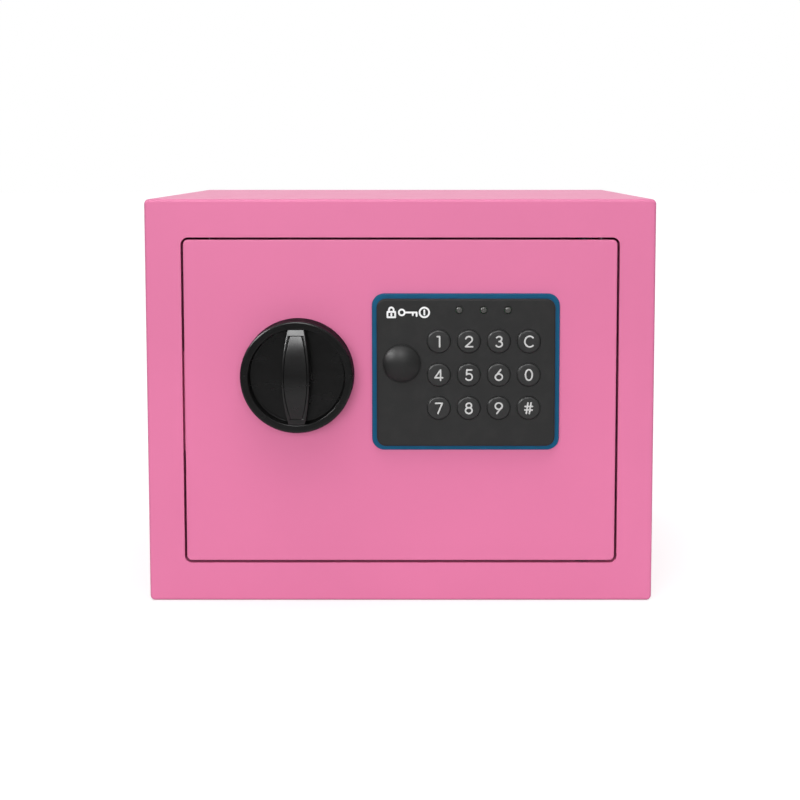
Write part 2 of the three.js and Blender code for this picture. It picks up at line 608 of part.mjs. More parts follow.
/** The wires from the keypad to the solenoid, below the emergency lock. */
function solenoidLead() {
  const coilSide = SOLENOID.x + SOLENOID.coilR + GAP;
  return lead([[46, FRONT, 104], [46, FRONT + 6, 103.5], [40, FRONT + 11, 101], [24, FRONT + 13.5, 100],
    [4, FRONT + 14.5, 100], [-14, FRONT + 16, 98.5], [-23, FRONT + 17.5, 96.5], [coilSide, FRONT + 18, 96]], 1.3);
}

// ---------------------------------------------------------------- assembly
const cabinet = group(
  piece('body_shell', 'pinkSteel', bodyShell()),
  piece('back_panel', 'pinkSteel', backPanel()),
  piece('floor_mat', 'felt', floorMat()),
  piece('door_stop', 'pinkSteel', doorStop()),
  piece('hinge_bush_upper', 'nylon', hingeBush(OPENING.top, 1)),
  piece('hinge_bush_lower', 'nylon', hingeBush(OPENING.bottom, -1)),
);

const coverScrews = SCREW_PLACES.map(([x, z], i) =>
  piece(`cover_screw_${i + 1}`, 'zincSteel', coverScrew(), [x, COVER.back + GAP, z]));

const door = group(
  piece('door_panel', 'pinkSteel', doorPanel()),
  piece('door_box', 'pinkSteel', doorBox()),
  piece('door_back_cover', 'pinkSteel', doorBackCover()),
  ...coverScrews,
  piece('hinge_lug_upper', 'pinkSteel', hingeLug(DOOR.top - 2 - HINGE.lugLength, DOOR.top - 2)),
  piece('hinge_lug_lower', 'pinkSteel', hingeLug(DOOR.bottom + 2, DOOR.bottom + 2 + HINGE.lugLength)),
  piece('hinge_pin_upper', 'steel', hingePin(DOOR.top - HINGE.lugLength, OPENING.top + 4)),
  piece('hinge_pin_lower', 'steel', hingePin(OPENING.bottom - 4, DOOR.bottom + HINGE.lugLength)),
);

const keypad = group(
  piece('keypad_bezel', 'blueBezel', keypadBezel()),
  piece('keypad_board', 'boardGreen', keypadBoard()),
  piece('keypad_face', 'keypadPlastic', keypadFace()),
  ...LEDS.map(([name, x]) => piece(name, 'smokedLens', lamp(), [x, 0, LED.z])),
  ...KEYS.map(([name, x, z]) => piece(name, 'keyRubber', pushKey(), [x, 0, z])),
);

const knob = group(
  piece('knob_dial', 'blackPlastic', knobDial()),
  piece('knob_grip_cap', 'blackPlastic', knobGripCap()),
  piece('knob_spindle', 'steel', knobSpindle()),
  piece('knob_crank', 'zincSteel', knobCrank()),
);
knob.position.set(KNOB.x, 0, KNOB.z);

const boltWork = group(
  piece('bolt_carriage', 'zincSteel', boltCarriage()),
  piece('locking_bolt_upper', 'steel', lockingBolt(BOLT.zHigh)),
  piece('locking_bolt_lower', 'steel', lockingBolt(BOLT.zLow)),
);

const emergencyLock = group(
  piece('lock_housing', 'steel', lockHousing()),
  piece('lock_nut', 'zincSteel', lockNut()),
  piece('lock_plug', 'brass', lockPlug()),
  piece('lock_cam', 'zincSteel', lockCam()),
  piece('lock_cap', 'keypadPlastic', lockCap(), [LOCK.x, 0, LOCK.z]),
);

const firstCell = TRAY.left + (TRAY.right - TRAY.left - (BATTERY.count - 1) * BATTERY.pitch) / 2;
const cells = Array.from({ length: BATTERY.count }, (_, i) =>
  piece(`battery_${i + 1}`, 'cellWrap', batteryCell(firstCell + i * BATTERY.pitch, i % 2 === 1)));

const electrics = group(
  piece('battery_box', 'blackPlastic', batteryBox()),
  ...cells,
  piece('battery_cover', 'blackPlastic', batteryCover()),
  piece('solenoid_frame', 'zincSteel', solenoidFrame()),
  piece('solenoid_coil', 'coilTape', solenoidCoil()),
  piece('solenoid_plunger', 'steel', solenoidPlunger()),
  piece('reset_switch', 'blackPlastic', resetSwitch()),
  piece('reset_button', 'redPlastic', resetButton(), [RESET.x, 0, RESET.z]),
  piece('battery_lead', 'leadRubber', batteryLead()),
  piece('solenoid_lead', 'leadRubber', solenoidLead()),
);

const safe = group(cabinet, door, keypad, knob, boltWork, emergencyLock, electrics);
export default safe;
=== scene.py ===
"""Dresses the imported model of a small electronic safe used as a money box.

The frame gives the places and the overall sizes. Each sub-assembly below is a class that
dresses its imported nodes, or makes finer pieces for them, with its finer measures at its top.
Each kind of finish is a small class of its own.
"""

from __future__ import annotations

import logging
import math
from dataclasses import dataclass, field
from enum import Enum
from typing import Any, Iterable, Sequence

import bmesh
import bpy
from mathutils import Matrix, Vector


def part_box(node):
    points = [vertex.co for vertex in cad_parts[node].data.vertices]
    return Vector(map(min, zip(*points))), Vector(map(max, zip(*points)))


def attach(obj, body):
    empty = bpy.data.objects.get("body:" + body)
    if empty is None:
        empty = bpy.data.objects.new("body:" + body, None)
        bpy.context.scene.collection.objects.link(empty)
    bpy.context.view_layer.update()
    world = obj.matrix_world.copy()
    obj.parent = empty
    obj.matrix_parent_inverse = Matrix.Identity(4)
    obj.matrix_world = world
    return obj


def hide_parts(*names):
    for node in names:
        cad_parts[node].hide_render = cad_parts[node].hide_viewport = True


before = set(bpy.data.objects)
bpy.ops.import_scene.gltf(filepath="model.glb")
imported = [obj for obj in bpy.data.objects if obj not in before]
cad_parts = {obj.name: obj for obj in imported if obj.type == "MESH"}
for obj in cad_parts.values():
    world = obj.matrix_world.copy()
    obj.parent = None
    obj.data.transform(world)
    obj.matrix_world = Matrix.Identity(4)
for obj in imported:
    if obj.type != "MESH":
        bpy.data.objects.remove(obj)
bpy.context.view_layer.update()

MM = 0.001
WELD = 1e-6
TOUCHING = 1e-7
WHITE = (1.0, 1.0, 1.0, 1.0)
LOG = logging.getLogger("money_box")

Colour = tuple[float, float, float]
Point = tuple[float, float, float]
Flat = tuple[float, float]
Outline = tuple[float, float, float]


# ---------------------------------------------------------------- finishes
class Wiring:
    """A node tree being wired up."""

    def __init__(self, tree: bpy.types.NodeTree) -> None:
        """Start on a tree.

        Args:
            tree: The tree that the nodes go in.
        """
        self.tree = tree

    def node(self, kind: str, inputs: dict[str | int, Any] | None = None,
             **settings: Any) -> bpy.types.Node:
        """Add a node.

        Args:
            kind: The node's type.
            inputs: Links or constants for its inputs, by name or index.
            **settings: Properties of the node.

        Returns:
            The node.
        """
        made = self.tree.nodes.new(kind)
        for label, value in settings.items():
            setattr(made, label, value)
        for key, value in (inputs or {}).items():
            if isinstance(value, bpy.types.NodeSocket):
                self.tree.links.new(value, made.inputs[key])
            else:
                made.inputs[key].default_value = value
        return made

    def out(self, kind: str, inputs: dict[str | int, Any] | None = None,
            **settings: Any) -> bpy.types.NodeSocket:
        """Add a node and return its first output."""
        return self.node(kind, inputs, **settings).outputs[0]

    def sums(self, operation: str, *values: Any) -> bpy.types.NodeSocket:
        """Return the result of one arithmetic step."""
        return self.out("ShaderNodeMath", dict(enumerate(values)), operation=operation)

    def spread(self, socket: bpy.types.NodeSocket, low: float, high: float,
               start: float = 0.3, end: float = 0.7, curve: str = "LINEAR") -> bpy.types.NodeSocket:
        """Map a pattern's start and end to a low and a high value.

        Args:
            socket: The pattern.
            low: The value at the start and before it.
            high: The value at the end and past it.
            start: The pattern's value that counts as its start.
            end: The pattern's value that counts as its end.
            curve: The way from the one to the other.

        Returns:
            The socket that carries the mapped value.
        """
        return self.out("ShaderNodeMapRange", {
            "Value": socket, "From Min": start, "From Max": end, "To Min": low, "To Max": high},
            interpolation_type=curve)


class Shader(Wiring):
    """A material being wired up, with short calls for the patterns that the finishes share."""

    def __init__(self, name: str) -> None:
        """Start a material with a principled surface.

        Args:
            name: The material's name.
        """
        self.material = bpy.data.materials.new(name)
        self.material.use_nodes = True
        super().__init__(self.material.node_tree)
        self.surface = self.tree.nodes["Principled BSDF"]
        self.place = self.node("ShaderNodeTexCoord").outputs["Object"]
        self.normal: bpy.types.NodeSocket | None = None

    def constants(self, values: dict[str, Any]) -> None:
        """Set values on the surface's own sockets."""
        for socket, value in values.items():
            self.surface.inputs[socket].default_value = value

    def wire(self, socket: bpy.types.NodeSocket, name: str) -> None:
        """Link a pattern to one of the surface's sockets."""
        self.tree.links.new(socket, self.surface.inputs[name])

    def stretched(self, scale: Point, offset: Point = (0.0, 0.0, 0.0)) -> bpy.types.NodeSocket:
        """Stretch and shift the object's own coordinates.

        Args:
            scale: How much denser a pattern becomes along each axis.
            offset: How far the pattern moves, in metres, before it is stretched.

        Returns:
            The socket that carries the coordinates.
        """
        shift = [-o * s for o, s in zip(offset, scale)]
        return self.out("ShaderNodeMapping", {"Vector": self.place, "Scale": scale, "Location": shift})

    def noise(self, scale: float, detail: float = 2.0, place: bpy.types.NodeSocket | None = None,
              roughness: float = 0.55) -> bpy.types.NodeSocket:
        """Return a cloudy pattern from 0 to 1."""
        return self.out("ShaderNodeTexNoise", {
            "Vector": place or self.place, "Scale": scale, "Detail": detail, "Roughness": roughness})

    def cells(self, scale: float, place: bpy.types.NodeSocket | None = None,
              colour: bool = False) -> bpy.types.NodeSocket:
        """Return the distance to scattered cell centres, or each cell's own colour."""
        made = self.node("ShaderNodeTexVoronoi", {"Vector": place or self.place, "Scale": scale})
        return made.outputs["Color" if colour else "Distance"]

    def tint(self, factor: bpy.types.NodeSocket, dark: Colour, light: Colour) -> bpy.types.NodeSocket:
        """Blend two colours by a pattern."""
        made = self.node("ShaderNodeMix", {"Factor": factor}, data_type="RGBA")
        ends = [socket for socket in made.inputs if socket.type == "RGBA"]
        for socket, value in zip(ends, (dark, light)):
            socket.default_value = (*value, 1.0)
        return next(socket for socket in made.outputs if socket.type == "RGBA")

    def relief(self, height: bpy.types.NodeSocket, depth: float, strength: float = 1.0) -> None:
        """Add a bump, on top of any that is there already.

        Args:
            height: The pattern that raises the surface.
            depth: The height of the pattern, in metres.
            strength: How much of it shows.
        """
        under = {} if self.normal is None else {"Normal": self.normal}
        self.normal = self.out("ShaderNodeBump", {
            "Height": height, "Distance": depth, "Strength": strength, **under})
        self.wire(self.normal, "Normal")


def shaded(colour: Colour, amount: float) -> Colour:
    """Return a colour made lighter or darker by a factor."""
    return tuple(min(1.0, c * amount) for c in colour)  # type: ignore[return-value]


@dataclass(frozen=True)
class Finish:
    """What every finish has: a name, a colour in linear light and a roughness."""

    name: str
    colour: Colour
    roughness: float

    def build(self, shader: Shader) -> None:
        """Wire the finish's patterns."""
        raise NotImplementedError

    def mottle(self, shader: Shader, pattern: bpy.types.NodeSocket, dark: float, light: float,
               start: float = 0.3, end: float = 0.7) -> None:
        """Let a pattern darken and lighten the finish's own colour.

        Args:
            shader: The material being wired up.
            pattern: Where the colour is darker and lighter.
            dark: The factor at the pattern's start.
            light: The factor at the pattern's end.
            start: The pattern's value that counts as its start.
            end: The pattern's value that counts as its end.
        """
        share = shader.spread(pattern, 0.0, 1.0, start, end)
        shader.wire(shader.tint(share, shaded(self.colour, dark), shaded(self.colour, light)), "Base Color")

    def material(self) -> bpy.types.Material:
        """Return the finish's material, made at its first use."""
        found = bpy.data.materials.get(self.name)
        if found is not None:
            return found
        shader = Shader(self.name)
        shader.constants({"Base Color": (*self.colour, 1.0), "Roughness": self.roughness})
        self.build(shader)
        shader.material.diffuse_color = (*self.colour, 1.0)
        return shader.material


@dataclass(frozen=True)
class PowderCoat(Finish):
    """Satin powder coat: a fine orange peel over slightly uneven cover."""

    peel: float = 650.0

    def build(self, shader: Shader) -> None:
        """Wire the cover's unevenness, the orange peel and the powder's grain."""
        self.mottle(shader, shader.noise(9.0, 3.0), 0.975, 1.02)
        cover = shader.noise(60.0)
        shader.wire(shader.spread(cover, self.roughness - 0.03, self.roughness + 0.04), "Roughness")
        shader.relief(shader.noise(self.peel, 1.0), 0.03 * MM, 0.22)
        shader.relief(shader.noise(self.peel * 4.5, 2.0), 0.008 * MM, 0.25)
        shader.constants({"Specular IOR Level": 0.4})


@dataclass(frozen=True)
class Moulding(Finish):
    """Moulded plastic with a spark-eroded grain and faint handling marks."""

    grain: float = 1600.0
    depth: float = 0.012
    gloss: float = 0.5

    def build(self, shader: Shader) -> None:
        """Wire the grain, the sheen's unevenness and a trace of dust."""
        self.mottle(shader, shader.noise(140.0, 6.0), 0.94, 1.12, 0.45, 0.8)
        marks = shader.noise(55.0, 4.0, shader.stretched((1.0, 1.0, 2.2)))
        shader.wire(shader.spread(marks, self.roughness - 0.04, self.roughness + 0.06), "Roughness")
        shader.relief(shader.cells(self.grain), self.depth * MM, 0.35)
        shader.relief(shader.noise(self.grain * 2.0, 1.0), self.depth * 0.5 * MM, 0.3)
        shader.constants({"Specular IOR Level": self.gloss})


class Grain(Enum):
    """How a metal came by its marks."""

    TURNED = "turned"
    SPANGLED = "spangled"


@dataclass(frozen=True)
class Metal(Finish):
    """Bare or plated metal. A turned piece's marks run round the axis that along names."""

    grain: Grain = Grain.TURNED
    along: str = "X"

    def build(self, shader: Shader) -> None:
        """Wire marks that run round a turned piece, or flowers over a plated one."""
        shader.constants({"Metallic": 1.0})
        if self.grain is Grain.SPANGLED:
            marks = shader.cells(260.0, colour=True)
            fine = shader.noise(900.0, 3.0)
        else:
            across = {"X": (40.0, 1.0, 1.0), "Y": (1.0, 40.0, 1.0), "Z": (1.0, 1.0, 40.0)}[self.along]
            marks = shader.noise(70.0, 4.0, shader.stretched(across))
            fine = shader.noise(160.0, 5.0, shader.stretched(across))
        self.mottle(shader, marks, 0.86, 1.08)
        shader.wire(shader.spread(fine, self.roughness - 0.07, self.roughness + 0.1), "Roughness")
        shader.relief(fine, 0.01 * MM, 0.3)


@dataclass(frozen=True)
class Felt(Finish):
    """Needled felt: matted fibres with flecks of a lighter grey."""

    def build(self, shader: Shader) -> None:
        """Wire the flecks, the matted fibres and the sheen of the nap."""
        fibres = shader.noise(700.0, 6.0, shader.stretched((1.0, 0.35, 1.0)), 0.7)
        crossed = shader.noise(650.0, 6.0, shader.stretched((0.35, 1.0, 1.0), (0.2, 0.1, 0.0)), 0.7)
        self.mottle(shader, fibres, 0.7, 2.6, 0.42, 0.72)
        shader.relief(fibres, 0.35 * MM, 0.8)
        shader.relief(crossed, 0.3 * MM, 0.7)
        shader.constants({"Sheen Weight": 0.35, "Sheen Roughness": 0.5, "Specular IOR Level": 0.15})


@dataclass(frozen=True)
class Board(Finish):
    """Solder mask over copper tracks."""

    def build(self, shader: Shader) -> None:
        """Wire square runs of lighter track under the mask."""
        tracks = shader.cells(420.0, shader.stretched((1.0, 0.2, 3.0)))
        self.mottle(shader, tracks, 0.7, 1.5, 0.3, 0.4)
        shader.relief(tracks, 0.03 * MM, 0.4)
        shader.constants({"Coat Weight": 0.4})


@dataclass(frozen=True)
class Wrap(Finish):
    """Printed shrink wrap on a cell: a plain colour with a second band low down."""

    band: Colour = (0.55, 0.56, 0.58)
    edge: float = 0.0

    def build(self, shader: Shader) -> None:
        """Wire the band's edge across Z and the film's ripples."""
        height = shader.node("ShaderNodeSeparateXYZ", {0: shader.place}).outputs["Z"]
        step = shader.spread(height, 0.0, 1.0, self.edge, self.edge + 0.2 * MM)
        shader.wire(shader.tint(step, self.band, self.colour), "Base Color")
        shader.relief(shader.noise(220.0, 2.0, shader.stretched((1.0, 1.0, 0.2))), 0.05 * MM, 0.3)
        shader.constants({"Coat Weight": 0.6, "Coat Roughness": 0.12})


@dataclass(frozen=True)
class Ink(Finish):
    """Screen-printed ink, slightly uneven."""

    def build(self, shader: Shader) -> None:
        """Wire thin places in the ink."""
        self.mottle(shader, shader.noise(1500.0, 4.0), 0.86, 1.0)
        shader.constants({"Specular IOR Level": 0.3})


class Palette(Enum):
    """Every finish of the safe."""

    PINK = PowderCoat("pink_powder_coat", (0.725, 0.184, 0.358), 0.42)
    BLACK = Moulding("black_moulding", (0.0035, 0.0035, 0.0035), 0.24, grain=2200.0, depth=0.003, gloss=0.45)
    GRIP = Moulding("grip_moulding", (0.003, 0.003, 0.003), 0.24, grain=2600.0, depth=0.002, gloss=0.6)
    SKIRT = Moulding("matt_knob_skirt", (0.004, 0.0038, 0.0038), 0.6, grain=2000.0, depth=0.006, gloss=0.05)
    KEYPAD = Moulding("keypad_moulding", (0.027, 0.027, 0.027), 0.5, grain=1500.0, depth=0.010, gloss=0.15)
    KEY = Moulding("key_silicone", (0.024, 0.024, 0.024), 0.36, grain=2400.0, depth=0.003, gloss=0.5)
    CAP = Moulding("lock_cap_moulding", (0.013, 0.013, 0.013), 0.46, grain=2400.0, depth=0.004, gloss=0.45)
    BLUE = Moulding("blue_moulding", (0.005, 0.088, 0.185), 0.42, grain=1800.0, depth=0.008, gloss=0.2)
    LENS = Moulding("smoked_lens", (0.05, 0.05, 0.047), 0.2, grain=3000.0, depth=0.002, gloss=0.5)
    TRAY = Moulding("battery_tray_moulding", (0.017, 0.017, 0.018), 0.45, grain=1300.0, depth=0.02, gloss=0.4)
    RED = Moulding("red_button", (0.43, 0.013, 0.012), 0.3, grain=2500.0, depth=0.003)
    NYLON = Moulding("white_nylon", (0.74, 0.71, 0.64), 0.5, grain=1200.0, depth=0.01)
    BUSH = Moulding("black_nylon", (0.012, 0.012, 0.013), 0.5, grain=1200.0, depth=0.01, gloss=0.25)
    RED_WIRE = Moulding("red_wire", (0.36, 0.012, 0.012), 0.4, grain=900.0, depth=0.01)
    COPPER = Metal("winding_wire", (0.62, 0.24, 0.11), 0.28, along="Z")
    BOLT = Metal("turned_bolt_steel", (0.50, 0.505, 0.515), 0.24, along="X")
    PIN = Metal("turned_pin_steel", (0.46, 0.465, 0.475), 0.28, along="Z")
    BLUED = Metal("blued_pin_steel", (0.045, 0.046, 0.05), 0.42, along="Z")
    BARREL = Metal("turned_barrel_steel", (0.48, 0.482, 0.49), 0.26, along="Y")
    BRASS = Metal("turned_brass", (0.50, 0.31, 0.09), 0.27, along="Y")
    ZINC = Metal("zinc_plate", (0.42, 0.405, 0.36), 0.36, grain=Grain.SPANGLED)
    FELT = Felt("charcoal_felt", (0.030, 0.030, 0.032), 0.95)
    BOARD = Board("solder_mask", (0.014, 0.10, 0.036), 0.35)
    CELL = Wrap("cell_wrap", (0.03, 0.045, 0.27), 0.25, edge=0.06)
    INK = Ink("number_ink", (0.60, 0.60, 0.595), 0.5)
    WHITE_INK = Ink("sign_ink", (0.92, 0.92, 0.92), 0.45)


# ---------------------------------------------------------------- mesh making
def new_object(name: str, mesh: bpy.types.Mesh, finish: Palette) -> bpy.types.Object:
    """Put a mesh in the scene with its finish, smooth shaded.

    Args:
        name: The piece's name.
        mesh: Its mesh, in place.
        finish: What it is made of.

    Returns:
        The new object.
    """
    made = bpy.data.objects.new(name, mesh)
    bpy.context.scene.collection.objects.link(made)
    mesh.materials.clear()
    mesh.materials.append(finish.value.material())
    mesh.shade_smooth()
    return made


def skin(name: str, points: Sequence[Point], faces: Sequence[Sequence[int]],
         finish: Palette) -> bpy.types.Object:
    """Make a closed mesh with its doubles merged and its faces outwards."""
    mesh = bpy.data.meshes.new(name)
    mesh.from_pydata([tuple(p) for p in points], [], [tuple(f) for f in faces])
    work = bmesh.new()
    work.from_mesh(mesh)
    bmesh.ops.remove_doubles(work, verts=work.verts, dist=TOUCHING)
    bmesh.ops.dissolve_degenerate(work, edges=work.edges, dist=TOUCHING)
    bmesh.ops.recalc_face_normals(work, faces=work.faces)
    work.to_mesh(mesh)
    work.free()
    return new_object(name, mesh, finish)


def quarter(steps: int) -> list[float]:
    """Return the angles from 0 to a quarter turn in even steps, in radians."""
    return [math.pi / 2 * k / steps for k in range(steps + 1)]


def filleted(corners: Sequence[tuple[float, float, float]], steps: int = 6) -> list[Flat]:
    """Round the corners of a profile.

    Args:
        corners: Each corner as (radius from the axis, depth, fillet radius).
        steps: Points on each fillet.

    Returns:
        The profile's points.
    """
    out: list[Flat] = []
    for i, (r, y, fillet) in enumerate(corners):
        here = Vector((r, y))
        if fillet <= 0 or i in (0, len(corners) - 1):
            out.append((r, y))
            continue
        before = (Vector(corners[i - 1][:2]) - here).normalized()
        after = (Vector(corners[i + 1][:2]) - here).normalized()
        half = before.angle(after) / 2
        reach = fillet / math.tan(half)
        centre = here + (before + after).normalized() * fillet / math.sin(half)
        start, end = here + before * reach - centre, here + after * reach - centre
        turn = start.angle_signed(end)
        for k in range(steps + 1):
            arm = Matrix.Rotation(-turn * k / steps, 2) @ start
            out.append(tuple(centre + arm))
    return out


def turned(name: str, profile: Sequence[Flat], centre: Flat, finish: Palette,
           sides: int = 96) -> bpy.types.Object:
    """Turn a profile about an axis along Y.

    Args:
        name: The piece's name.
        profile: Points as (radius, y), from the axis and back to it.
        centre: The axis, as (x, z).
        finish: What it is made of.
        sides: Steps round the axis.

    Returns:
        The turned piece.
    """
    points: list[Point] = []
    rings: list[list[int]] = []
    for r, y in profile:
        if r < TOUCHING:
            rings.append([len(points)] * sides)
            points.append((centre[0], y, centre[1]))
            continue
        rings.append(list(range(len(points), len(points) + sides)))
        points += [(centre[0] + r * math.cos(a), y, centre[1] + r * math.sin(a))
                   for a in (math.tau * k / sides for k in range(sides))]
    faces = []
    for low, high in zip(rings, rings[1:]):
        for k in range(sides):
            corner = [low[k], low[(k + 1) % sides], high[(k + 1) % sides], high[k]]
            face = list(dict.fromkeys(corner))
            if len(face) > 2:
                faces.append(face)
    return skin(name, points, faces, finish)


def lofted(name: str, rings: Sequence[Sequence[Point]], finish: Palette) -> bpy.types.Object:
    """Skin a row of closed rings and cap both ends."""
    count = len(rings[0])
    points = [p for ring in rings for p in ring]
    faces: list[list[int]] = [list(range(count)), list(range(len(points) - count, len(points)))]
    for base in range(0, len(points) - count, count):
        for i in range(count):
            j = (i + 1) % count
            faces.append([base + i, base + j, base + count + j, base + count + i])
    return skin(name, points, faces, finish)


def joined(name: str, parts: Sequence[bpy.types.Object]) -> bpy.types.Object:
    """Join several objects into one piece, keeping each one's finish."""
    mesh = bpy.data.meshes.new(name)
    work = bmesh.new()
    for part in parts:
        first = len(mesh.materials)
        for material in part.data.materials:
            mesh.materials.append(material)
        already = len(work.faces)
        work.from_mesh(part.data)
        work.faces.ensure_lookup_table()
        for face in work.faces[already:]:
            face.material_index += first
        bpy.data.objects.remove(part)
    work.to_mesh(mesh)
    work.free()
    made = bpy.data.objects.new(name, mesh)
    bpy.context.scene.collection.objects.link(made)
    return made


def soften(piece: bpy.types.Object, width: float = 0.0, angle: float = 35.0) -> bpy.types.Object:
    """Round a piece's sharp edges a little and weight its normals by face.

    Args:
        piece: The piece to soften.
        width: The round's width in metres, or 0 for none.
        angle: The sharpest bend, in degrees, that is left alone.

    Returns:
        The same piece.
    """
    if width > 0:
        bevel = piece.modifiers.new("edge_round", "BEVEL")
        bevel.width = width
        bevel.segments = 3
        bevel.limit_method = "ANGLE"
        bevel.angle_limit = math.radians(angle)
        bevel.use_clamp_overlap = True
    weight = piece.modifiers.new("even_normals", "WEIGHTED_NORMAL")
    weight.keep_sharp = False
    return piece


def settle(piece: bpy.types.Object, body: str, replaces: Iterable[str] = ()) -> None:
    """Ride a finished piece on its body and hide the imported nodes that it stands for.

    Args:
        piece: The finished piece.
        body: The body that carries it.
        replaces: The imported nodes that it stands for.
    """
    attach(piece, body)
    names = list(replaces)
    if names:
        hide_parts(*names)
    LOG.info("%s rides on %s, %d vertices", piece.name, body, len(piece.data.vertices))


# ---------------------------------------------------------------- geometry nodes
class Recipe(Wiring):
    """A Geometry Nodes tree with named inputs, run on a base mesh and turned into plain mesh."""

    KINDS = {float: "NodeSocketFloat", int: "NodeSocketInt", bpy.types.Material: "NodeSocketMaterial",
             bpy.types.Object: "NodeSocketObject"}

    def __init__(self, name: str, inputs: dict[str, type]) -> None:
        """Start a tree.

        Args:
            name: The tree's name.
            inputs: Each input's name and kind. A material called Finish is always there.
        """
        super().__init__(bpy.data.node_groups.new(name, "GeometryNodeTree"))
        face = self.tree.interface
        face.new_socket("Geometry", in_out="INPUT", socket_type="NodeSocketGeometry")
        face.new_socket("Geometry", in_out="OUTPUT", socket_type="NodeSocketGeometry")
        self.names: dict[str, str] = {}
        for label, kind in {**inputs, "Finish": bpy.types.Material}.items():
            socket = face.new_socket(label, in_out="INPUT", socket_type=self.KINDS[kind])
            self.names[label] = socket.identifier
        self.start = self.tree.nodes.new("NodeGroupInput")
        self.end = self.tree.nodes.new("NodeGroupOutput")

    def given(self, label: str) -> bpy.types.NodeSocket:
        """Return the socket of a named input."""
        return self.start.outputs[label]

    def finish(self, geometry: bpy.types.NodeSocket) -> None:
        """End the tree in realised geometry with the Finish material."""
        real = self.out("GeometryNodeRealizeInstances", {"Geometry": geometry})
        painted = self.out("GeometryNodeSetMaterial", {"Geometry": real, "Material": self.given("Finish")})
        self.tree.links.new(painted, self.end.inputs[0])

    def run(self, name: str, base: bpy.types.Mesh, finish: Palette,
            values: dict[str, Any]) -> bpy.types.Object:
        """Run the tree on a base mesh.

        Args:
            name: The piece's name.
            base: The mesh that goes in.
            finish: The finish that comes out on it.
            values: The inputs' values by name.

        Returns:
            A piece with plain mesh and no modifier.
        """
        worker = bpy.data.objects.new(f"{name}_base", base)
        bpy.context.scene.collection.objects.link(worker)
        modifier = worker.modifiers.new(self.tree.name, "NODES")
        modifier.node_group = self.tree
        for label, value in {**values, "Finish": finish.value.material()}.items():
            modifier[self.names[label]] = value
        worker.update_tag()
        graph = bpy.context.evaluated_depsgraph_get()
        mesh = bpy.data.meshes.new_from_object(worker.evaluated_get(graph))
        bpy.data.objects.remove(worker)
        mesh.name = name
        return new_object(name, mesh, finish)


def wire_mesh(name: str, strokes: Sequence[Sequence[Point]]) -> bpy.types.Mesh:
    """Make a mesh of loose edges through rows of points."""
    points: list[Point] = []
    edges: list[tuple[int, int]] = []
    for stroke in strokes:
        edges += [(len(points) + i, len(points) + i + 1) for i in range(len(stroke) - 1)]
        points += list(stroke)
    mesh = bpy.data.meshes.new(name)
    mesh.from_pydata(points, edges, [])
    return mesh


def print_recipe() -> Recipe:
    """Return the tree that lays round-ended printed strokes on a domed face."""
    made = Recipe("printed_strokes", {"Width": float, "Relief": float, "Dome": float})
    half = made.sums("MULTIPLY", made.given("Width"), 0.5)
    strokes = made.out("GeometryNodeMeshToCurve", {0: made.given("Geometry")})
    paths = made.out("GeometryNodeResampleCurve", {"Curve": strokes, "Length": half}, mode="LENGTH")
    section = made.out("GeometryNodeCurvePrimitiveCircle", {"Resolution": 12, "Radius": half})
    body = made.out("GeometryNodeCurveToMesh", {"Curve": paths, "Profile Curve": section})
    ball = made.out("GeometryNodeMeshUVSphere", {"Segments": 12, "Rings": 8, "Radius": half})
    points = made.out("GeometryNodeMeshToPoints", {0: made.given("Geometry")})
    ends = made.out("GeometryNodeInstanceOnPoints", {"Points": points, "Instance": ball})
    both = made.node("GeometryNodeJoinGeometry")
    for part in (body, ends):
        made.tree.links.new(part, both.inputs[0])
    real = made.out("GeometryNodeRealizeInstances", {"Geometry": both.outputs[0]})
    place = made.node("ShaderNodeSeparateXYZ", {0: made.out("GeometryNodeInputPosition")})
    x, y, z = place.outputs
    squares = made.sums("ADD", made.sums("MULTIPLY", x, x), made.sums("MULTIPLY", z, z))
    rise = made.sums("MULTIPLY", made.given("Dome"), squares)
    flat = made.sums("MULTIPLY", y, made.given("Relief"))
    moved = made.out("ShaderNodeCombineXYZ", {0: x, 1: made.sums("ADD", flat, rise), 2: z})
    made.finish(made.out("GeometryNodeSetPosition", {"Geometry": real, "Position": moved}))
    return made


def copies_recipe() -> Recipe:
    """Return the tree that puts one turned copy of an object at each point."""
    made = Recipe("copies_at_points", {"Copy": bpy.types.Object, "Seed": int, "Turn": float})
    source = made.node("GeometryNodeObjectInfo", {"Object": made.given("Copy")})
    spin = made.node("FunctionNodeRandomValue", {"Seed": made.given("Seed")}, data_type="FLOAT")
    angle = made.sums("MULTIPLY", next(s for s in spin.outputs if s.enabled), made.given("Turn"))
    turn = made.out("ShaderNodeCombineXYZ", {1: angle})
    points = made.out("GeometryNodeMeshToPoints", {0: made.given("Geometry")})
    made.finish(made.out("GeometryNodeInstanceOnPoints", {
        "Points": points, "Instance": source.outputs["Geometry"], "Rotation": turn}))
    return made


def winding_recipe() -> Recipe:
    """Return the tree that winds a wire in even turns along Z."""
    made = Recipe("wire_winding", {"Radius": float, "Height": float, "Turns": float, "Wire": float})
    spiral = made.out("GeometryNodeCurveSpiral", {
        "Resolution": 36, "Rotations": made.given("Turns"), "Start Radius": made.given("Radius"),
        "End Radius": made.given("Radius"), "Height": made.given("Height")})
    section = made.out("GeometryNodeCurvePrimitiveCircle", {"Resolution": 8, "Radius": made.given("Wire")})
    made.finish(made.out("GeometryNodeCurveToMesh", {
        "Curve": spiral, "Profile Curve": section, "Fill Caps": True}))
    return made


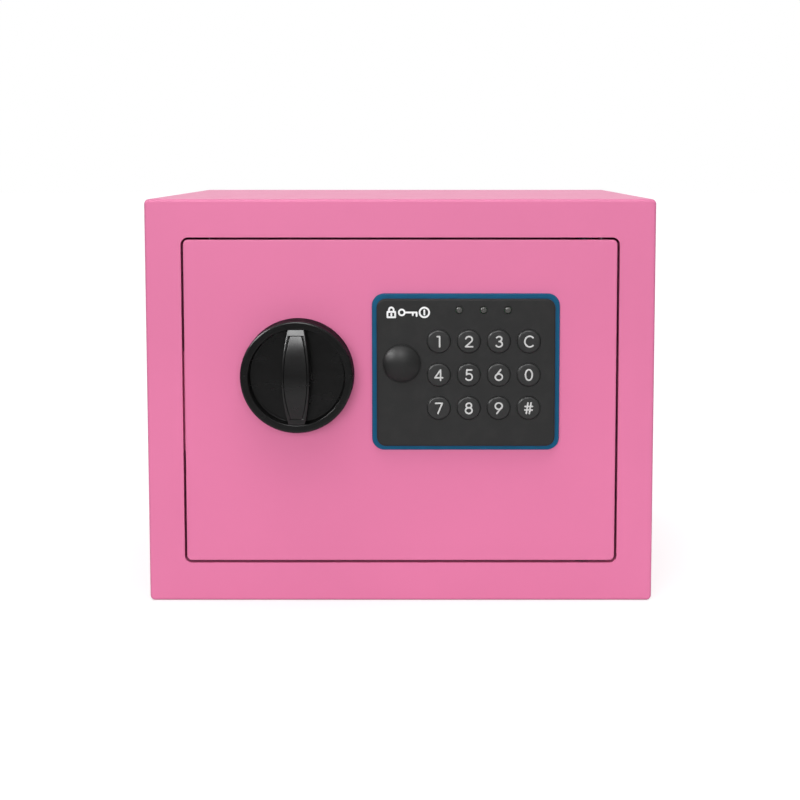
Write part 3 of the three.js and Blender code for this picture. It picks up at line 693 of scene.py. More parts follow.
def twisted_pair_recipe() -> Recipe:
    """Return the tree that sweeps two touching wires, twisted, along a path."""
    made = Recipe("twisted_pair", {"Wire": float, "Turns": float})
    wire = made.given("Wire")
    path = made.out("GeometryNodeMeshToCurve", {0: made.given("Geometry")})
    smooth = made.out("GeometryNodeResampleCurve", {"Curve": path, "Count": 90})
    factor = made.node("GeometryNodeSplineParameter").outputs["Factor"]
    tilt = made.sums("MULTIPLY", made.sums("MULTIPLY", factor, made.given("Turns")), math.tau)
    tilted = made.out("GeometryNodeSetCurveTilt", {"Curve": smooth, "Tilt": tilt})
    section = made.out("GeometryNodeCurvePrimitiveCircle", {"Resolution": 10, "Radius": wire})
    pair = made.node("GeometryNodeJoinGeometry")
    for side in (1.0, -1.0):
        shift = made.out("ShaderNodeCombineXYZ", {0: made.sums("MULTIPLY", wire, side)})
        moved = made.out("GeometryNodeTransform", {"Geometry": section, "Translation": shift})
        made.tree.links.new(moved, pair.inputs[0])
    made.finish(made.out("GeometryNodeCurveToMesh", {
        "Curve": tilted, "Profile Curve": pair.outputs[0], "Fill Caps": True}))
    return made


def shading_tree() -> bpy.types.NodeTree:
    """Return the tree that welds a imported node's loose triangles and shades them smoothly."""
    found = bpy.data.node_groups.get("welded_and_smooth")
    if found is not None:
        return found
    made = Wiring(bpy.data.node_groups.new("welded_and_smooth", "GeometryNodeTree"))
    for way in ("INPUT", "OUTPUT"):
        made.tree.interface.new_socket("Geometry", in_out=way, socket_type="NodeSocketGeometry")
    weld = made.out("GeometryNodeMergeByDistance", {"Geometry": made.out("NodeGroupInput"), "Distance": WELD})
    made.node("NodeGroupOutput", {0: made.out("GeometryNodeSetShadeSmooth", {"Geometry": weld})})
    return made.tree


def dress_nodes(finish: Palette, edges: dict[str, float]) -> None:
    """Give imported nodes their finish, smooth shading and softened edges.

    Args:
        finish: What the nodes are made of.
        edges: For each node, the width of the round on its sharp edges in millimetres, or 0.
    """
    for node, edge in edges.items():
        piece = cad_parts[node]
        piece.data.materials.clear()
        piece.data.materials.append(finish.value.material())
        weld = piece.modifiers.new("welded_and_smooth", "NODES")
        weld.node_group = shading_tree()
        flat = piece.modifiers.new("whole_faces", "DECIMATE")
        flat.decimate_type = "DISSOLVE"
        flat.angle_limit = math.radians(0.6)
        soften(piece, edge * MM)
        LOG.info("%s keeps its packed shape, in %s", node, finish.value.name)


# ---------------------------------------------------------------- cabinet
@dataclass
class Cabinet:
    """The standing part: shell, back sheet, felt mat, door stop and hinge bushes."""

    weld_inset: float = 9 * MM
    weld_pitch: float = 34 * MM
    weld_radius: float = 2.6 * MM
    weld_height: float = 0.12 * MM
    mat_step: float = 4 * MM
    mat_wave: float = 0.35 * MM
    mat_ripples: Flat = (37.0, 41.0)
    copies: Recipe = field(default_factory=copies_recipe)

    def dress(self) -> None:
        """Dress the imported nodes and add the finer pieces."""
        dress_nodes(Palette.PINK, {"body_shell": 0.8, "back_panel": 0.4, "door_stop": 0.3})
        dress_nodes(Palette.BUSH, {"hinge_bush_upper": 0.12, "hinge_bush_lower": 0.12})
        self.spot_welds()
        self.felt_mat()

    def spot_welds(self) -> None:
        """Add the shallow weld marks round the back sheet."""
        low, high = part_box("back_panel")
        back = high[1]
        left, right = low[0] + self.weld_inset, high[0] - self.weld_inset
        bottom, top = low[2] + self.weld_inset, high[2] - self.weld_inset
        across, up = round((right - left) / self.weld_pitch), round((top - bottom) / self.weld_pitch)
        spots = [(left + (right - left) * i / across, back, z)
                 for i in range(across + 1) for z in (bottom, top)]
        spots += [(x, back, bottom + (top - bottom) * i / up) for i in range(1, up) for x in (left, right)]
        r, h = self.weld_radius, self.weld_height
        rim = [(0.0, -h), (r * 1.15, -h), (r, 0.15 * h), (r * 0.8, h), (r * 0.55, 0.3 * h), (0.0, 0.1 * h)]
        mark = turned("weld_mark", rim, (0, 0), Palette.PINK, 24)
        base = bpy.data.meshes.new("weld_places")
        base.from_pydata(spots, [], [])
        welds = self.copies.run("spot_welds", base, Palette.PINK, {"Copy": mark, "Seed": 3, "Turn": math.tau})
        bpy.data.objects.remove(mark)
        settle(welds, "cabinet")

    def felt_mat(self) -> None:
        """Make the felt mat, a little uneven, with its anchor holes punched out."""
        low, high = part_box("floor_mat")
        work = bmesh.new()
        work.from_mesh(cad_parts["floor_mat"].data)
        bmesh.ops.remove_doubles(work, verts=work.verts, dist=WELD)
        bmesh.ops.dissolve_limit(work, angle_limit=math.radians(1), verts=work.verts, edges=work.edges)
        for axis in (0, 1):
            count = round((high[axis] - low[axis]) / self.mat_step)
            for i in range(1, count):
                place = Vector((0.0, 0.0, 0.0))
                place[axis] = low[axis] + (high[axis] - low[axis]) * i / count
                normal = Vector((1.0, 0.0, 0.0)) if axis == 0 else Vector((0.0, 1.0, 0.0))
                everything = work.verts[:] + work.edges[:] + work.faces[:]
                bmesh.ops.bisect_plane(work, geom=everything, plane_co=place, plane_no=normal, dist=WELD)
        for vertex in work.verts:
            if vertex.co.z > (low[2] + high[2]) / 2:
                x, y = vertex.co.x * self.mat_ripples[0], vertex.co.y * self.mat_ripples[1]
                wave = math.sin(x + 1.3) * math.cos(y * 0.8) + 0.5 * math.sin(2.3 * y + x)
                vertex.co.z -= self.mat_wave * (0.75 + 0.5 * wave)
        mesh = bpy.data.meshes.new("felt_mat")
        work.to_mesh(mesh)
        work.free()
        mat = soften(new_object("felt_mat", mesh, Palette.FELT), 0.5 * MM, 50.0)
        settle(mat, "cabinet", ["floor_mat"])


# ---------------------------------------------------------------- door
@dataclass
class Door:
    """The swinging leaf: plate, lock box, back cover, hinge work and cover screws."""

    head_radius: float = 3.6 * MM
    head_height: float = 2.2 * MM
    recess_half: float = 1.9 * MM
    recess_blade: float = 0.42 * MM
    recess_depth: float = 1.3 * MM
    recess_taper: Flat = (0.45, 1.15)
    shank_radius: float = 1.9 * MM
    copies: Recipe = field(default_factory=copies_recipe)

    def dress(self) -> None:
        """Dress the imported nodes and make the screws."""
        dress_nodes(Palette.PINK, {"door_panel": 0.2, "door_box": 0.35, "door_back_cover": 0.25,
                                   "hinge_lug_upper": 0.4, "hinge_lug_lower": 0.4})
        dress_nodes(Palette.BLUED, {"hinge_pin_upper": 0.3, "hinge_pin_lower": 0.3})
        self.cover_screws()

    def cover_screws(self) -> None:
        """Place the cross-head screws of the back cover, each turned its own way."""
        nodes = [f"cover_screw_{i}" for i in range(1, 5)]
        places = []
        for node in nodes:
            low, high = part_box(node)
            places.append(((low[0] + high[0]) / 2, high[1] - self.head_height, (low[2] + high[2]) / 2))
        low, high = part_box(nodes[0])
        shank = high[1] - low[1] - self.head_height
        r, h = self.head_radius, self.head_height
        profile = filleted([
            (0, -shank, 0), (self.shank_radius, -shank, 0.3 * MM), (self.shank_radius, 0, 0),
            (r, 0, 0.2 * MM), (r, h * 0.5, 0.8 * MM), (r * 0.62, h * 0.93, 1.6 * MM), (0, h, 0)], 5)
        screw = turned("cover_screw", profile, (0, 0), Palette.ZINC, 40)
        for x, z in ((self.recess_half, self.recess_blade), (self.recess_blade, self.recess_half)):
            cutter = self.wedge(x, z, h)
            cut = screw.modifiers.new("cross", "BOOLEAN")
            cut.operation = "DIFFERENCE"
            cut.object = cutter
            screw.data = bpy.data.meshes.new_from_object(
                screw.evaluated_get(bpy.context.evaluated_depsgraph_get()))
            screw.modifiers.clear()
            bpy.data.objects.remove(cutter)
        base = bpy.data.meshes.new("screw_places")
        base.from_pydata(places, [], [])
        screws = self.copies.run("cover_screws", base, Palette.ZINC,
                                 {"Copy": screw, "Seed": 11, "Turn": math.tau})
        bpy.data.objects.remove(screw)
        settle(soften(screws), "door", nodes)

    def wedge(self, x: float, z: float, top: float) -> bpy.types.Object:
        """Return one tapering blade of the cross recess, standing a little proud of the head."""
        ring = [(-1, -1), (1, -1), (1, 1), (-1, 1)]
        rings = [[(sx * x * k, y, sz * z * k) for sx, sz in ring]
                 for y, k in zip((top - self.recess_depth, top + 0.5 * MM), self.recess_taper)]
        return lofted("cross_blade", rings, Palette.ZINC)


# ---------------------------------------------------------------- knob
def mirrored(side: Sequence[tuple[float, ...]]) -> list[tuple[float, ...]]:
    """Return a ring from one side's points, given with X first, and their mirror images."""
    return [(-x, *rest) for x, *rest in side] + list(reversed(side))


@dataclass
class Knob:
    """The turning knob: a dished dial, a grip bar across it, and the insert let into the bar."""

    rim_depth: float = 5.5 * MM
    floor_depth: float = 10.9 * MM
    dish_radius: float = 23.3 * MM
    outer_round: float = 1.3 * MM
    bar_end_depth: float = 5.9 * MM
    foot: Outline = (7.0 * MM, 4.2 * MM, 24.2 * MM)
    face: Outline = (6.55 * MM, 3.95 * MM, 23.6 * MM)
    shoulder: float = 0.7 * MM
    insert: Outline = (5.5 * MM, 2.7 * MM, 20.2 * MM)
    groove: float = 0.2 * MM
    pocket_depth: float = 0.95 * MM
    steps: int = 72
    skirt_slope: float = 0.12

    def __post_init__(self) -> None:
        """Read the dial's place from the frame."""
        low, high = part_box("knob_dial")
        self.centre = ((low[0] + high[0]) / 2, (low[2] + high[2]) / 2)
        self.radius = (high[0] - low[0]) / 2
        self.back = high[1]
        self.peak = low[1]

    def dress(self) -> None:
        """Make the dial, bar and insert, and dress the spindle and the crank."""
        self.dial()
        dress_nodes(Palette.BARREL, {"knob_spindle": 0.4})
        dress_nodes(Palette.ZINC, {"knob_crank": 0.3})

    def arch(self, u: float) -> float:
        """Return the depth of the bar's face at a share of its half length."""
        return self.peak + self.bar_end_depth * u * u

    @staticmethod
    def at(widths: Outline, u: float) -> float:
        """Return an outline's half width at a share of its half length."""
        middle, tip, _ = widths
        return middle - (middle - tip) * u * u

    def dial(self) -> None:
        """Turn the dished dial, with a matt skirt, and lay the bar and its insert across it."""
        rim, floor = self.peak + self.rim_depth, self.peak + self.floor_depth
        profile = filleted([
            (0, self.back, 0), (self.radius - 0.6 * MM, self.back, 0.3 * MM),
            (self.radius, self.back - 0.8 * MM, 0.4 * MM), (self.radius - 0.15 * MM, rim, self.outer_round),
            (self.dish_radius + 0.15 * MM, rim, 0.45 * MM), (self.dish_radius - 0.25 * MM, floor, 0.7 * MM),
            (0, floor, 0)], 8)
        dish = turned("dial_dish", profile, self.centre, Palette.BLACK, 160)
        dish.data.materials.append(Palette.SKIRT.value.material())
        axis = Vector((self.centre[0], 0.0, self.centre[1]))
        for face in dish.data.polygons:
            arm = face.center - axis
            arm.y = 0.0
            upright = abs(face.normal.y) < self.skirt_slope
            if upright and face.center.y > rim + self.outer_round * 0.8 and face.normal.dot(arm) > 0:
                face.material_index = 1
        bar = self.bar(floor + 0.6 * MM)
        settle(soften(joined("knob_dial_and_bar", [dish, bar])), "knob", ["knob_dial"])
        settle(soften(self.inlay()), "knob", ["knob_grip_cap"])

    def bar(self, foot_y: float) -> bpy.types.Object:
        """Loft the grip bar, with the pocket for the insert sunk in its face.

        Args:
            foot_y: How deep the bar's foot stands in the dish.

        Returns:
            The bar.
        """
        length = self.insert[2] + self.groove
        pocket_end = length / self.face[2]
        stops = [(2 * i / self.steps - 1, False) for i in range(self.steps + 1)]
        stops = [(u, abs(u) < pocket_end) for u, _ in stops if abs(abs(u) - pocket_end) > 0.004]
        stops += [(sign * pocket_end, sunk) for sign in (-1, 1) for sunk in (False, True)]
        stops += [(sign * (pocket_end + 0.003), False) for sign in (-1, 1)]
        stops.sort(key=lambda stop: (round(stop[0], 6), stop[1] if stop[0] < 0 else not stop[1]))
        rings = []
        for u, sunk in stops:
            half_foot, half_face, y = self.at(self.foot, u), self.at(self.face, u), self.arch(u)
            edge = self.at(self.insert, u * self.face[2] / self.insert[2]) + self.groove
            floor = y + (self.pocket_depth if sunk else 0.0)
            side = [(half_foot, foot_y, self.foot[2])]
            side += [(half_face + 0.1 * MM - self.shoulder * (1 - math.cos(a)),
                      y + self.shoulder * (1 - math.sin(a)), self.face[2]) for a in quarter(6)]
            side += [(edge, y, self.face[2]), (edge, floor, self.face[2]), (edge * 0.5, floor, self.face[2])]
            rings.append([(self.centre[0] + x, y_at, self.centre[1] + u * reach)
                          for x, y_at, reach in mirrored(side)])
        return lofted("grip_bar", rings, Palette.GRIP)

    def inlay(self) -> bpy.types.Object:
        """Loft the insert, flush with the bar's face."""
        rings = []
        half_steps = self.steps // 2
        shares = [2 * i / half_steps - 1 for i in range(half_steps + 1)]
        shares[1:1], shares[-1:-1] = [-0.996, -0.985], [0.985, 0.996]
        for share in shares:
            u = share * self.insert[2] / self.face[2]
            half, y = self.at(self.insert, share), self.arch(u) + (0.06 * MM if abs(share) == 1 else 0.0)
            side = [(half, y + 0.8 * MM), (half, y + 0.18 * MM), (half - 0.06 * MM, y + 0.05 * MM),
                    (half - 0.18 * MM, y), (half * 0.5, y - 0.02 * MM)]
            rings.append([(self.centre[0] + x, y_at, self.centre[1] + u * self.face[2])
                          for x, y_at in mirrored(side)])
        return lofted("knob_insert", rings, Palette.GRIP)


# ---------------------------------------------------------------- keypad
def arc(centre: Flat, radii: Flat, start: float, end: float, step: float = 12.0) -> list[Flat]:
    """Return points on an arc, from one angle to another, in degrees."""
    count = max(2, round(abs(end - start) / step))
    angles = [math.radians(start + (end - start) * i / count) for i in range(count + 1)]
    return [(centre[0] + radii[0] * math.cos(a), centre[1] + radii[1] * math.sin(a)) for a in angles]


def circle(x: float, y: float, r: float) -> list[Flat]:
    """Return a closed ring of points."""
    return arc((x, y), (r, r), 90, 450)


SIX = [[(0.16, 1.0), (-0.21, 0.48)], circle(0, 0.3, 0.3)]
NUMBERS: dict[str, list[list[Flat]]] = {
    "1": [[(-0.14, 0.97), (0.06, 0.97), (0.06, 0.0)]],
    "2": [arc((0.0, 0.70), (0.28, 0.28), 165, -35) + [(-0.29, 0.02), (0.32, 0.02)]],
    "3": [arc((0.0, 0.75), (0.23, 0.23), 150, -90), arc((0.0, 0.26), (0.28, 0.26), 90, -150)],
    "4": [[(0.14, 0.0), (0.14, 0.98), (-0.34, 0.24), (0.32, 0.24)]],
    "5": [[(0.24, 0.97), (-0.17, 0.97), (-0.21, 0.52)] + arc((0.0, 0.31), (0.29, 0.31), 125, -150)],
    "6": SIX,
    "7": [[(-0.28, 0.97), (0.29, 0.97), (-0.08, 0.0)]],
    "8": [circle(0, 0.75, 0.23), circle(0, 0.27, 0.28)],
    "9": [[(-x, 1 - y) for x, y in stroke] for stroke in SIX],
    "0": [arc((0.0, 0.5), (0.29, 0.5), 90, 450)],
    "C": [arc((0.06, 0.5), (0.42, 0.5), 48, 312)],
    "hash": [[(-0.2, 0.0), (-0.06, 1.0)], [(0.06, 0.0), (0.2, 1.0)],
             [(-0.32, 0.33), (0.3, 0.33)], [(-0.3, 0.67), (0.32, 0.67)]],
}
SIGNS: list[list[Flat]] = [
    [(-2.1, 0.0), (-2.1, 0.56), (-1.3, 0.56), (-1.3, 0.0), (-2.1, 0.0)],
    [(-1.94, 0.56)] + arc((-1.7, 0.78), (0.24, 0.24), 180, 0) + [(-1.46, 0.56)],
    [(-1.7, 0.36), (-1.7, 0.2)],
    circle(-0.62, 0.5, 0.3),
    [(-0.32, 0.5), (0.92, 0.5), (0.92, 0.14)],
    [(0.52, 0.5), (0.52, 0.22)],
    circle(1.72, 0.5, 0.5),
    [(1.72, 0.72), (1.72, 0.28)],
]


@dataclass
class Keypad:
    """The number pad: coloured surround, dark face, lamps and domed keys with printed numbers."""

    number_height: float = 5.2 * MM
    number_width: float = 0.78 * MM
    number_spread: float = 1.1
    sign_height: float = 4.7 * MM
    sign_width: float = 0.9 * MM
    sign_place: Flat = (3.7 * MM, 145.0 * MM)
    ink_relief: float = 0.13
    key_dome: float = 0.16 * MM
    key_edge: float = 1.15 * MM
    key_flange: float = 1.0 * MM
    key_foot: Flat = (0.12 * MM, 0.15 * MM)
    skirt: float = 0.04 * MM
    lamp_nose: float = 0.9 * MM
    prints: Recipe = field(default_factory=print_recipe)

    def dress(self) -> None:
        """Dress the surround, face and board, and make the keys and lamps."""
        dress_nodes(Palette.BLUE, {"keypad_bezel": 0.15})
        dress_nodes(Palette.KEYPAD, {"keypad_face": 0.1})
        dress_nodes(Palette.BOARD, {"keypad_board": 0.1})
        for name in ("led_left", "led_middle", "led_right"):
            self.lamp(name)
        for name in NUMBERS:
            self.key(name)
        self.signs()

    def printed(self, name: str, strokes: list[list[Flat]], height: float, width: float, dome: float,
                place: Point, finish: Palette) -> bpy.types.Object:
        """Print strokes on a face.

        Args:
            name: The piece's name.
            strokes: Rows of points in units of the height, about the middle in X.
            height: The height of one unit, in metres.
            width: The stroke's width, in metres.
            dome: How fast the face falls back from its middle.
            place: The middle of the print, on the face.
            finish: The ink.

        Returns:
            The print, in place.
        """
        rows = [[(x * height, 0.0, (y - 0.5) * height) for x, y in stroke] for stroke in strokes]
        made = self.prints.run(name, wire_mesh(f"{name}_strokes", rows), finish,
                               {"Width": width, "Relief": self.ink_relief, "Dome": dome})
        made.data.transform(Matrix.Translation(place))
        return made

    def key(self, label: str) -> None:
        """Make one key and print its number."""
        node = f"key_{label}"
        low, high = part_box(node)
        x, z, top = (low[0] + high[0]) / 2, (low[2] + high[2]) / 2, low[1]
        r = (high[0] - low[0]) / 2 - self.key_flange
        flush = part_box("keypad_face")[0][1] + self.skirt
        inner, shoulder = r - self.key_edge, flush - top - self.key_dome
        edge = [(inner + self.key_edge * math.cos(a), flush - shoulder * math.sin(a)) for a in quarter(10)]
        crown = [(inner * k / 6, top + self.key_dome * (k / 6) ** 2) for k in range(5, -1, -1)]
        back_foot, front_foot = self.key_foot
        profile = [(0, high[1]), (r + back_foot, high[1]), (r + front_foot, flush), *edge, *crown]
        cap = turned(node + "_cap", profile, (x, z), Palette.KEY, 64)
        strokes = [[(x_at * self.number_spread, y_at) for x_at, y_at in stroke] for stroke in NUMBERS[label]]
        ink = self.printed(node + "_ink", strokes, self.number_height, self.number_width,
                           self.key_dome / inner ** 2, (x, top, z), Palette.INK)
        settle(soften(joined(f"number_{node}", [cap, ink])), node, [node])

    def lamp(self, name: str) -> None:
        """Turn one unlit lamp with a round nose."""
        low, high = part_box(name)
        x, z, r = (low[0] + high[0]) / 2, (low[2] + high[2]) / 2, (high[0] - low[0]) / 2
        nose = [(r * math.cos(a), low[1] + self.lamp_nose * (1 - math.sin(a))) for a in quarter(8)[:-1]]
        profile = [(0, high[1]), (r, high[1]), *nose, (0, low[1])]
        lens = turned(f"{name}_lens", profile, (x, z), Palette.LENS, 40)
        settle(soften(lens), "door", [name])

    def signs(self) -> None:
        """Print a plain padlock, key and coin above the pad, at the upper left."""
        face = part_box("keypad_face")[0][1]
        x, z = self.sign_place
        sign = self.printed("padlock_key_and_coin_sign", SIGNS, self.sign_height, self.sign_width, 0.0,
                            (x, face, z), Palette.WHITE_INK)
        settle(sign, "door")


# ---------------------------------------------------------------- emergency lock
@dataclass
class EmergencyLock:
    """The key lock behind a domed cover: barrel, nut, plug and cam."""

    seat: float = 0.7 * MM
    stand_off: float = 0.3 * MM
    stub_radius: float = 7.5 * MM
    stub_wall: float = 1.3 * MM
    edge: float = 0.15 * MM

    def dress(self) -> None:
        """Dress the barrel's parts and turn the cover."""
        dress_nodes(Palette.BARREL, {"lock_housing": 0.25})
        dress_nodes(Palette.ZINC, {"lock_nut": 0.35, "lock_cam": 0.2})
        dress_nodes(Palette.BRASS, {"lock_plug": 0.15})
        self.cover()

    def cover(self) -> None:
        """Turn the domed cover with the hollow stub that snaps into the face."""
        low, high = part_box("lock_cap")
        centre = ((low[0] + high[0]) / 2, (low[2] + high[2]) / 2)
        r, face = (high[0] - low[0]) / 2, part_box("keypad_face")[0][1] - self.stand_off
        stub, bore = self.stub_radius, self.stub_radius - self.stub_wall
        rise = face - low[1] - self.seat
        sphere = (r * r + rise * rise) / (2 * rise)
        reach = math.asin(r / sphere)
        dome = [(sphere * math.sin(a), low[1] + sphere * (1 - math.cos(a)))
                for a in (reach * (1 - i / 20) for i in range(1, 21))]
        profile = [(0, face + 0.2 * MM), (bore, face + 0.2 * MM), (bore, high[1]), (stub, high[1]),
                   (stub, face), (r - self.edge, face), (r, face - self.edge),
                   (r, face - self.seat + 0.1 * MM), *dome]
        cover = turned("emergency_lock_cover", profile, centre, Palette.CAP, 96)
        settle(soften(cover), "lock_cap", ["lock_cap"])


# ---------------------------------------------------------------- bolts, power and electrics
@dataclass
class LockWork:
    """What the door box holds: bolts, battery tray, solenoid, reset switch and leads."""

    winding_wire: float = 0.35 * MM
    coil_flange: float = 1.0 * MM
    coil_bore: float = 3.6 * MM
    coil_depth: float = 0.8 * MM
    cell_groove: float = 0.5 * MM
    cell_crimp: float = 1.5 * MM
    cell_pole: Flat = (2.7 * MM, 2.6 * MM)
    wire: float = 0.72 * MM
    battery_route: Sequence[Point] = (
        (50, -100, 108), (50, -95, 108), (50, -85, 107.5), (50, -77, 104.5), (50, -74.5, 101),
        (50, -74, 98.3))
    solenoid_route: Sequence[Point] = (
        (46, -100, 104), (46, -94, 103.5), (40, -89, 101), (24, -86.5, 100), (4, -85.5, 100),
        (-14, -84, 98.5), (-23, -82.5, 96.5), (-29.2, -82, 96))
    winding: Recipe = field(default_factory=winding_recipe)
    pair: Recipe = field(default_factory=twisted_pair_recipe)

    def dress(self) -> None:
        """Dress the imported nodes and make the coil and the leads."""
        dress_nodes(Palette.ZINC, {"bolt_carriage": 0.2, "solenoid_frame": 0.25})
        dress_nodes(Palette.BOLT, {"locking_bolt_upper": 0.0, "locking_bolt_lower": 0.0})
        dress_nodes(Palette.PIN, {"solenoid_plunger": 0.25})
        dress_nodes(Palette.TRAY, {"battery_box": 0.3, "battery_cover": 0.25, "reset_switch": 0.4})
        dress_nodes(Palette.RED, {"reset_button": 0.0})
        self.cells()
        self.coil()
        self.lead("battery_lead", self.battery_route, 9.0, 1.0)
        self.lead("solenoid_lead", self.solenoid_route, 22.0, 0.85)

    def cells(self) -> None:
        """Turn each cell with its crimped ends and raised pole."""
        for i in range(1, 5):
            node = f"battery_{i}"
            low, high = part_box(node)
            r, length = (high[0] - low[0]) / 2, high[2] - low[2]
            groove, crimp, (pole_foot, pole) = self.cell_groove, length - self.cell_crimp, self.cell_pole
            profile = filleted([
                (0, 0, 0), (r * 0.62, 0, 0.2 * MM), (r * 0.66, groove, 0.1 * MM),
                (r * 0.9, groove, 0.2 * MM), (r, 2 * groove, 0.4 * MM), (r, length - 2.2 * MM, 0.5 * MM),
                (r * 0.86, crimp, 0.2 * MM), (pole_foot, crimp, 0.2 * MM), (pole, length, 0.4 * MM),
                (0, length, 0)], 4)
            cell = turned(f"cell_{i}", profile, (0, 0), Palette.CELL, 48)
            up = i % 2 == 1
            turn = Matrix.Rotation(math.radians(90 if up else -90), 4, "X")
            foot = ((low[0] + high[0]) / 2, (low[1] + high[1]) / 2, low[2] if up else high[2])
            place = Matrix.Translation(foot)
            cell.data.transform(place @ turn)
            settle(soften(cell), "door", [node])

    def coil(self) -> None:
        """Wind the solenoid's wire between two flanges."""
        low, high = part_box("solenoid_coil")
        x, y, r = (low[0] + high[0]) / 2, (low[1] + high[1]) / 2, (high[0] - low[0]) / 2
        height, flange, bore = high[2] - low[2], self.coil_flange, self.coil_bore
        wound = r - self.coil_depth
        core = wound - self.winding_wire
        profile = [(bore, 0), (r, 0), (r, flange), (core, flange), (core, height - flange),
                   (r, height - flange), (r, height), (bore, height), (bore, 0)]
        bobbin = turned("bobbin", profile, (0, 0), Palette.NYLON, 48)
        bobbin.data.transform(Matrix.Rotation(math.radians(90), 4, "X"))
        bobbin.data.transform(Matrix.Translation((x, y, low[2])))
        turns = (height - 2 * flange - 2 * self.winding_wire) / (2 * self.winding_wire)
        wire = self.winding.run("turns", bpy.data.meshes.new("no_base"), Palette.COPPER, {
            "Radius": wound - 0.1 * MM, "Height": turns * 2 * self.winding_wire, "Turns": turns,
            "Wire": self.winding_wire})
        wire.data.transform(Matrix.Translation((x, y, low[2] + flange + self.winding_wire)))
        settle(soften(joined("wound_coil", [bobbin, wire])), "door", ["solenoid_coil"])

    def lead(self, node: str, route: Sequence[Point], turns: float, size: float) -> None:
        """Twist a pair of wires along a route.

        Args:
            node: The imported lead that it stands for.
            route: The route's points, in millimetres.
            turns: How many times the pair goes round.
            size: The wires' size, as a share of the usual.
        """
        points = [tuple(v * MM for v in p) for p in smooth_route(route)]
        made = self.pair.run(f"{node}_pair", wire_mesh(f"{node}_route", [points]), Palette.RED_WIRE,
                             {"Wire": self.wire * size, "Turns": turns})
        settle(made, "door", [node])


def smooth_route(points: Sequence[Point], steps: int = 12) -> list[Point]:
    """Return a smooth curve through given points, of the kind that passes each one."""
    rows = [Vector(p) for p in points]
    rows = [2 * rows[0] - rows[1], *rows, 2 * rows[-1] - rows[-2]]
    out: list[Point] = []
    for a, b, c, d in zip(rows, rows[1:], rows[2:], rows[3:]):
        for k in range(steps):
            t = k / steps
            out.append(tuple(0.5 * (2 * b + (c - a) * t + (2 * a - 5 * b + 4 * c - d) * t ** 2
                                    + (3 * b - 3 * c + d - a) * t ** 3)))
    out.append(tuple(rows[-2]))
    return out


# ---------------------------------------------------------------- studio
@dataclass(frozen=True)
class Lamp:
    """One soft box, placed by its angles as seen from the middle of the cabinet's front."""

    name: str
    azimuth: float
    elevation: float
    distance: float
    size: Flat
    brightness: float
    lights_surfaces: bool = True
    shows_in_gloss: bool = True

    def hang(self, target: Vector) -> None:
        """Hang the soft box and point it at the target.

        Args:
            target: The point that it faces.
        """
        light = bpy.data.lights.new(self.name, "AREA")
        light.shape = "RECTANGLE"
        light.size, light.size_y = self.size
        light.energy = self.brightness * math.pi * self.size[0] * self.size[1]
        made = bpy.data.objects.new(self.name, light)
        bpy.context.scene.collection.objects.link(made)
        made.visible_diffuse, made.visible_glossy = self.lights_surfaces, self.shows_in_gloss
        side, up = math.radians(self.azimuth), math.radians(self.elevation)
        arm = Vector((math.sin(side) * math.cos(up), -math.cos(side) * math.cos(up), math.sin(up)))
        made.location = target + arm * self.distance
        made.rotation_euler = (-arm).to_track_quat("-Z", "Y").to_euler()


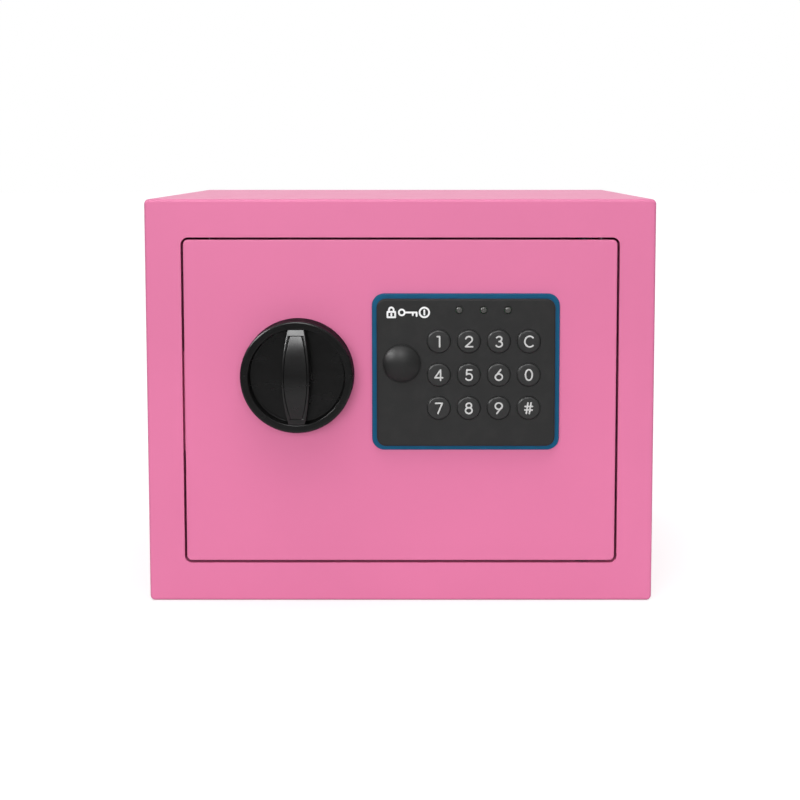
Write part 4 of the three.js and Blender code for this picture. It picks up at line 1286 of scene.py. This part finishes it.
@dataclass
class Studio:
    """A pale floor, a white surround that lights mostly from behind, soft boxes and the camera."""

    lens: float = 64.25
    offset: float = 11.7 * MM
    distance: float = 696.0 * MM
    height: float = 220.1 * MM
    pitch: float = 4.85
    shift: Flat = (-0.0302, -0.1515)
    sensor: float = 36.0
    light_from_below: float = 0.26
    light_from_above: float = 0.34
    light_from_behind: float = 0.95
    floor_size: float = 16.0
    floor_gap: float = 0.05 * MM
    near_tone: float = 0.5
    far_tone: float = 0.12
    glow: Flat = (0.6, 1.0)
    reach: Flat = (0.32, 0.75)
    lamps: Sequence[Lamp] = (
        Lamp("soft_box_front", -4.0, 6.0, 2.5, (1.7, 1.4), 7.3, shows_in_gloss=False),
        Lamp("soft_box_top", 0.0, 80.0, 2.0, (1.6, 1.6), 3.1, shows_in_gloss=False),
        Lamp("soft_box_high", -16.0, 46.0, 2.2, (0.8, 1.0), 0.9),
        Lamp("soft_box_high_gloss", -4.0, 44.0, 2.2, (0.8, 0.8), 8.5, lights_surfaces=False),
        Lamp("soft_box_left_gloss", -62.0, 34.0, 2.2, (0.7, 0.7), 24.0, lights_surfaces=False),
    )

    def build(self) -> None:
        """Set up the floor, the light and the camera."""
        low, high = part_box("body_shell")
        middle = (low + high) / 2
        self.floor(low[2])
        self.surround()
        for lamp in self.lamps:
            lamp.hang(Vector((middle[0], low[1], middle[2])))
        data = bpy.data.cameras.new("camera")
        data.sensor_width = self.sensor
        data.lens = self.lens
        data.shift_x, data.shift_y = self.shift
        camera = bpy.data.objects.new("camera", data)
        bpy.context.scene.collection.objects.link(camera)
        camera.location = (middle[0] + self.offset, low[1] - self.distance, low[2] + self.height)
        camera.rotation_euler = (math.radians(90 - self.pitch), 0, 0)
        bpy.context.scene.camera = camera
        bpy.context.scene.view_settings.view_transform = "Standard"

    def floor(self, level: float) -> None:
        """Lay the pale floor just under the cabinet, glowing softly away from it.

        Args:
            level: The height of the cabinet's underside.
        """
        half = self.floor_size / 2
        mesh = bpy.data.meshes.new("studio_floor")
        corners = [(-half, -half), (half, -half), (half, half), (-half, half)]
        mesh.from_pydata([(x, y, level - self.floor_gap) for x, y in corners], [], [(0, 1, 2, 3)])
        made = bpy.data.objects.new("studio_floor", mesh)
        bpy.context.scene.collection.objects.link(made)
        shader = Shader("pale_floor")
        shader.constants({"Roughness": 0.9, "Specular IOR Level": 0.0, "Emission Color": WHITE})
        away = shader.node("ShaderNodeVectorMath", {0: shader.place}, operation="LENGTH")
        far = shader.spread(away.outputs["Value"], 0.0, 1.0, *self.reach)
        shader.wire(shader.tint(far, (self.near_tone,) * 3, (self.far_tone,) * 3), "Base Color")
        seen = shader.node("ShaderNodeLightPath").outputs["Is Camera Ray"]
        glow = shader.sums("MULTIPLY", shader.spread(far, *self.glow, 0.0, 1.0), seen)
        shader.wire(glow, "Emission Strength")
        mesh.materials.append(shader.material)

    def surround(self) -> None:
        """Make the surround white to look at, and as a light dimmer in front than behind."""
        world = bpy.data.worlds.new("white_surround")
        world.use_nodes = True
        sky = Wiring(world.node_tree)
        white = sky.tree.nodes["Background"]
        white.inputs["Color"].default_value = WHITE
        way = sky.node("ShaderNodeTexCoord").outputs["Generated"]
        split = sky.node("ShaderNodeSeparateXYZ", {0: way})
        front = sky.spread(split.outputs["Z"], self.light_from_below, self.light_from_above,
                           -0.05, 0.55, "SMOOTHSTEP")
        back = sky.spread(split.outputs["Y"], 0.0, self.light_from_behind, -0.1, 0.6, "SMOOTHSTEP")
        brighter = sky.sums("MAXIMUM", front, back)
        lighting = sky.out("ShaderNodeBackground", {"Color": WHITE, "Strength": brighter})
        seen = sky.node("ShaderNodeLightPath").outputs["Is Camera Ray"]
        mix = sky.out("ShaderNodeMixShader", {0: seen, 1: lighting, 2: white.outputs[0]})
        sky.tree.links.new(mix, sky.tree.nodes["World Output"].inputs[0])
        bpy.context.scene.world = world


def main() -> None:
    """Build every sub-assembly in order, then the studio."""
    logging.basicConfig(level=logging.INFO, format="%(message)s")
    for assembly in (Cabinet(), Door(), Knob(), Keypad(), EmergencyLock(), LockWork()):
        assembly.dress()
    Studio().build()


if __name__ == "__main__":
    main()
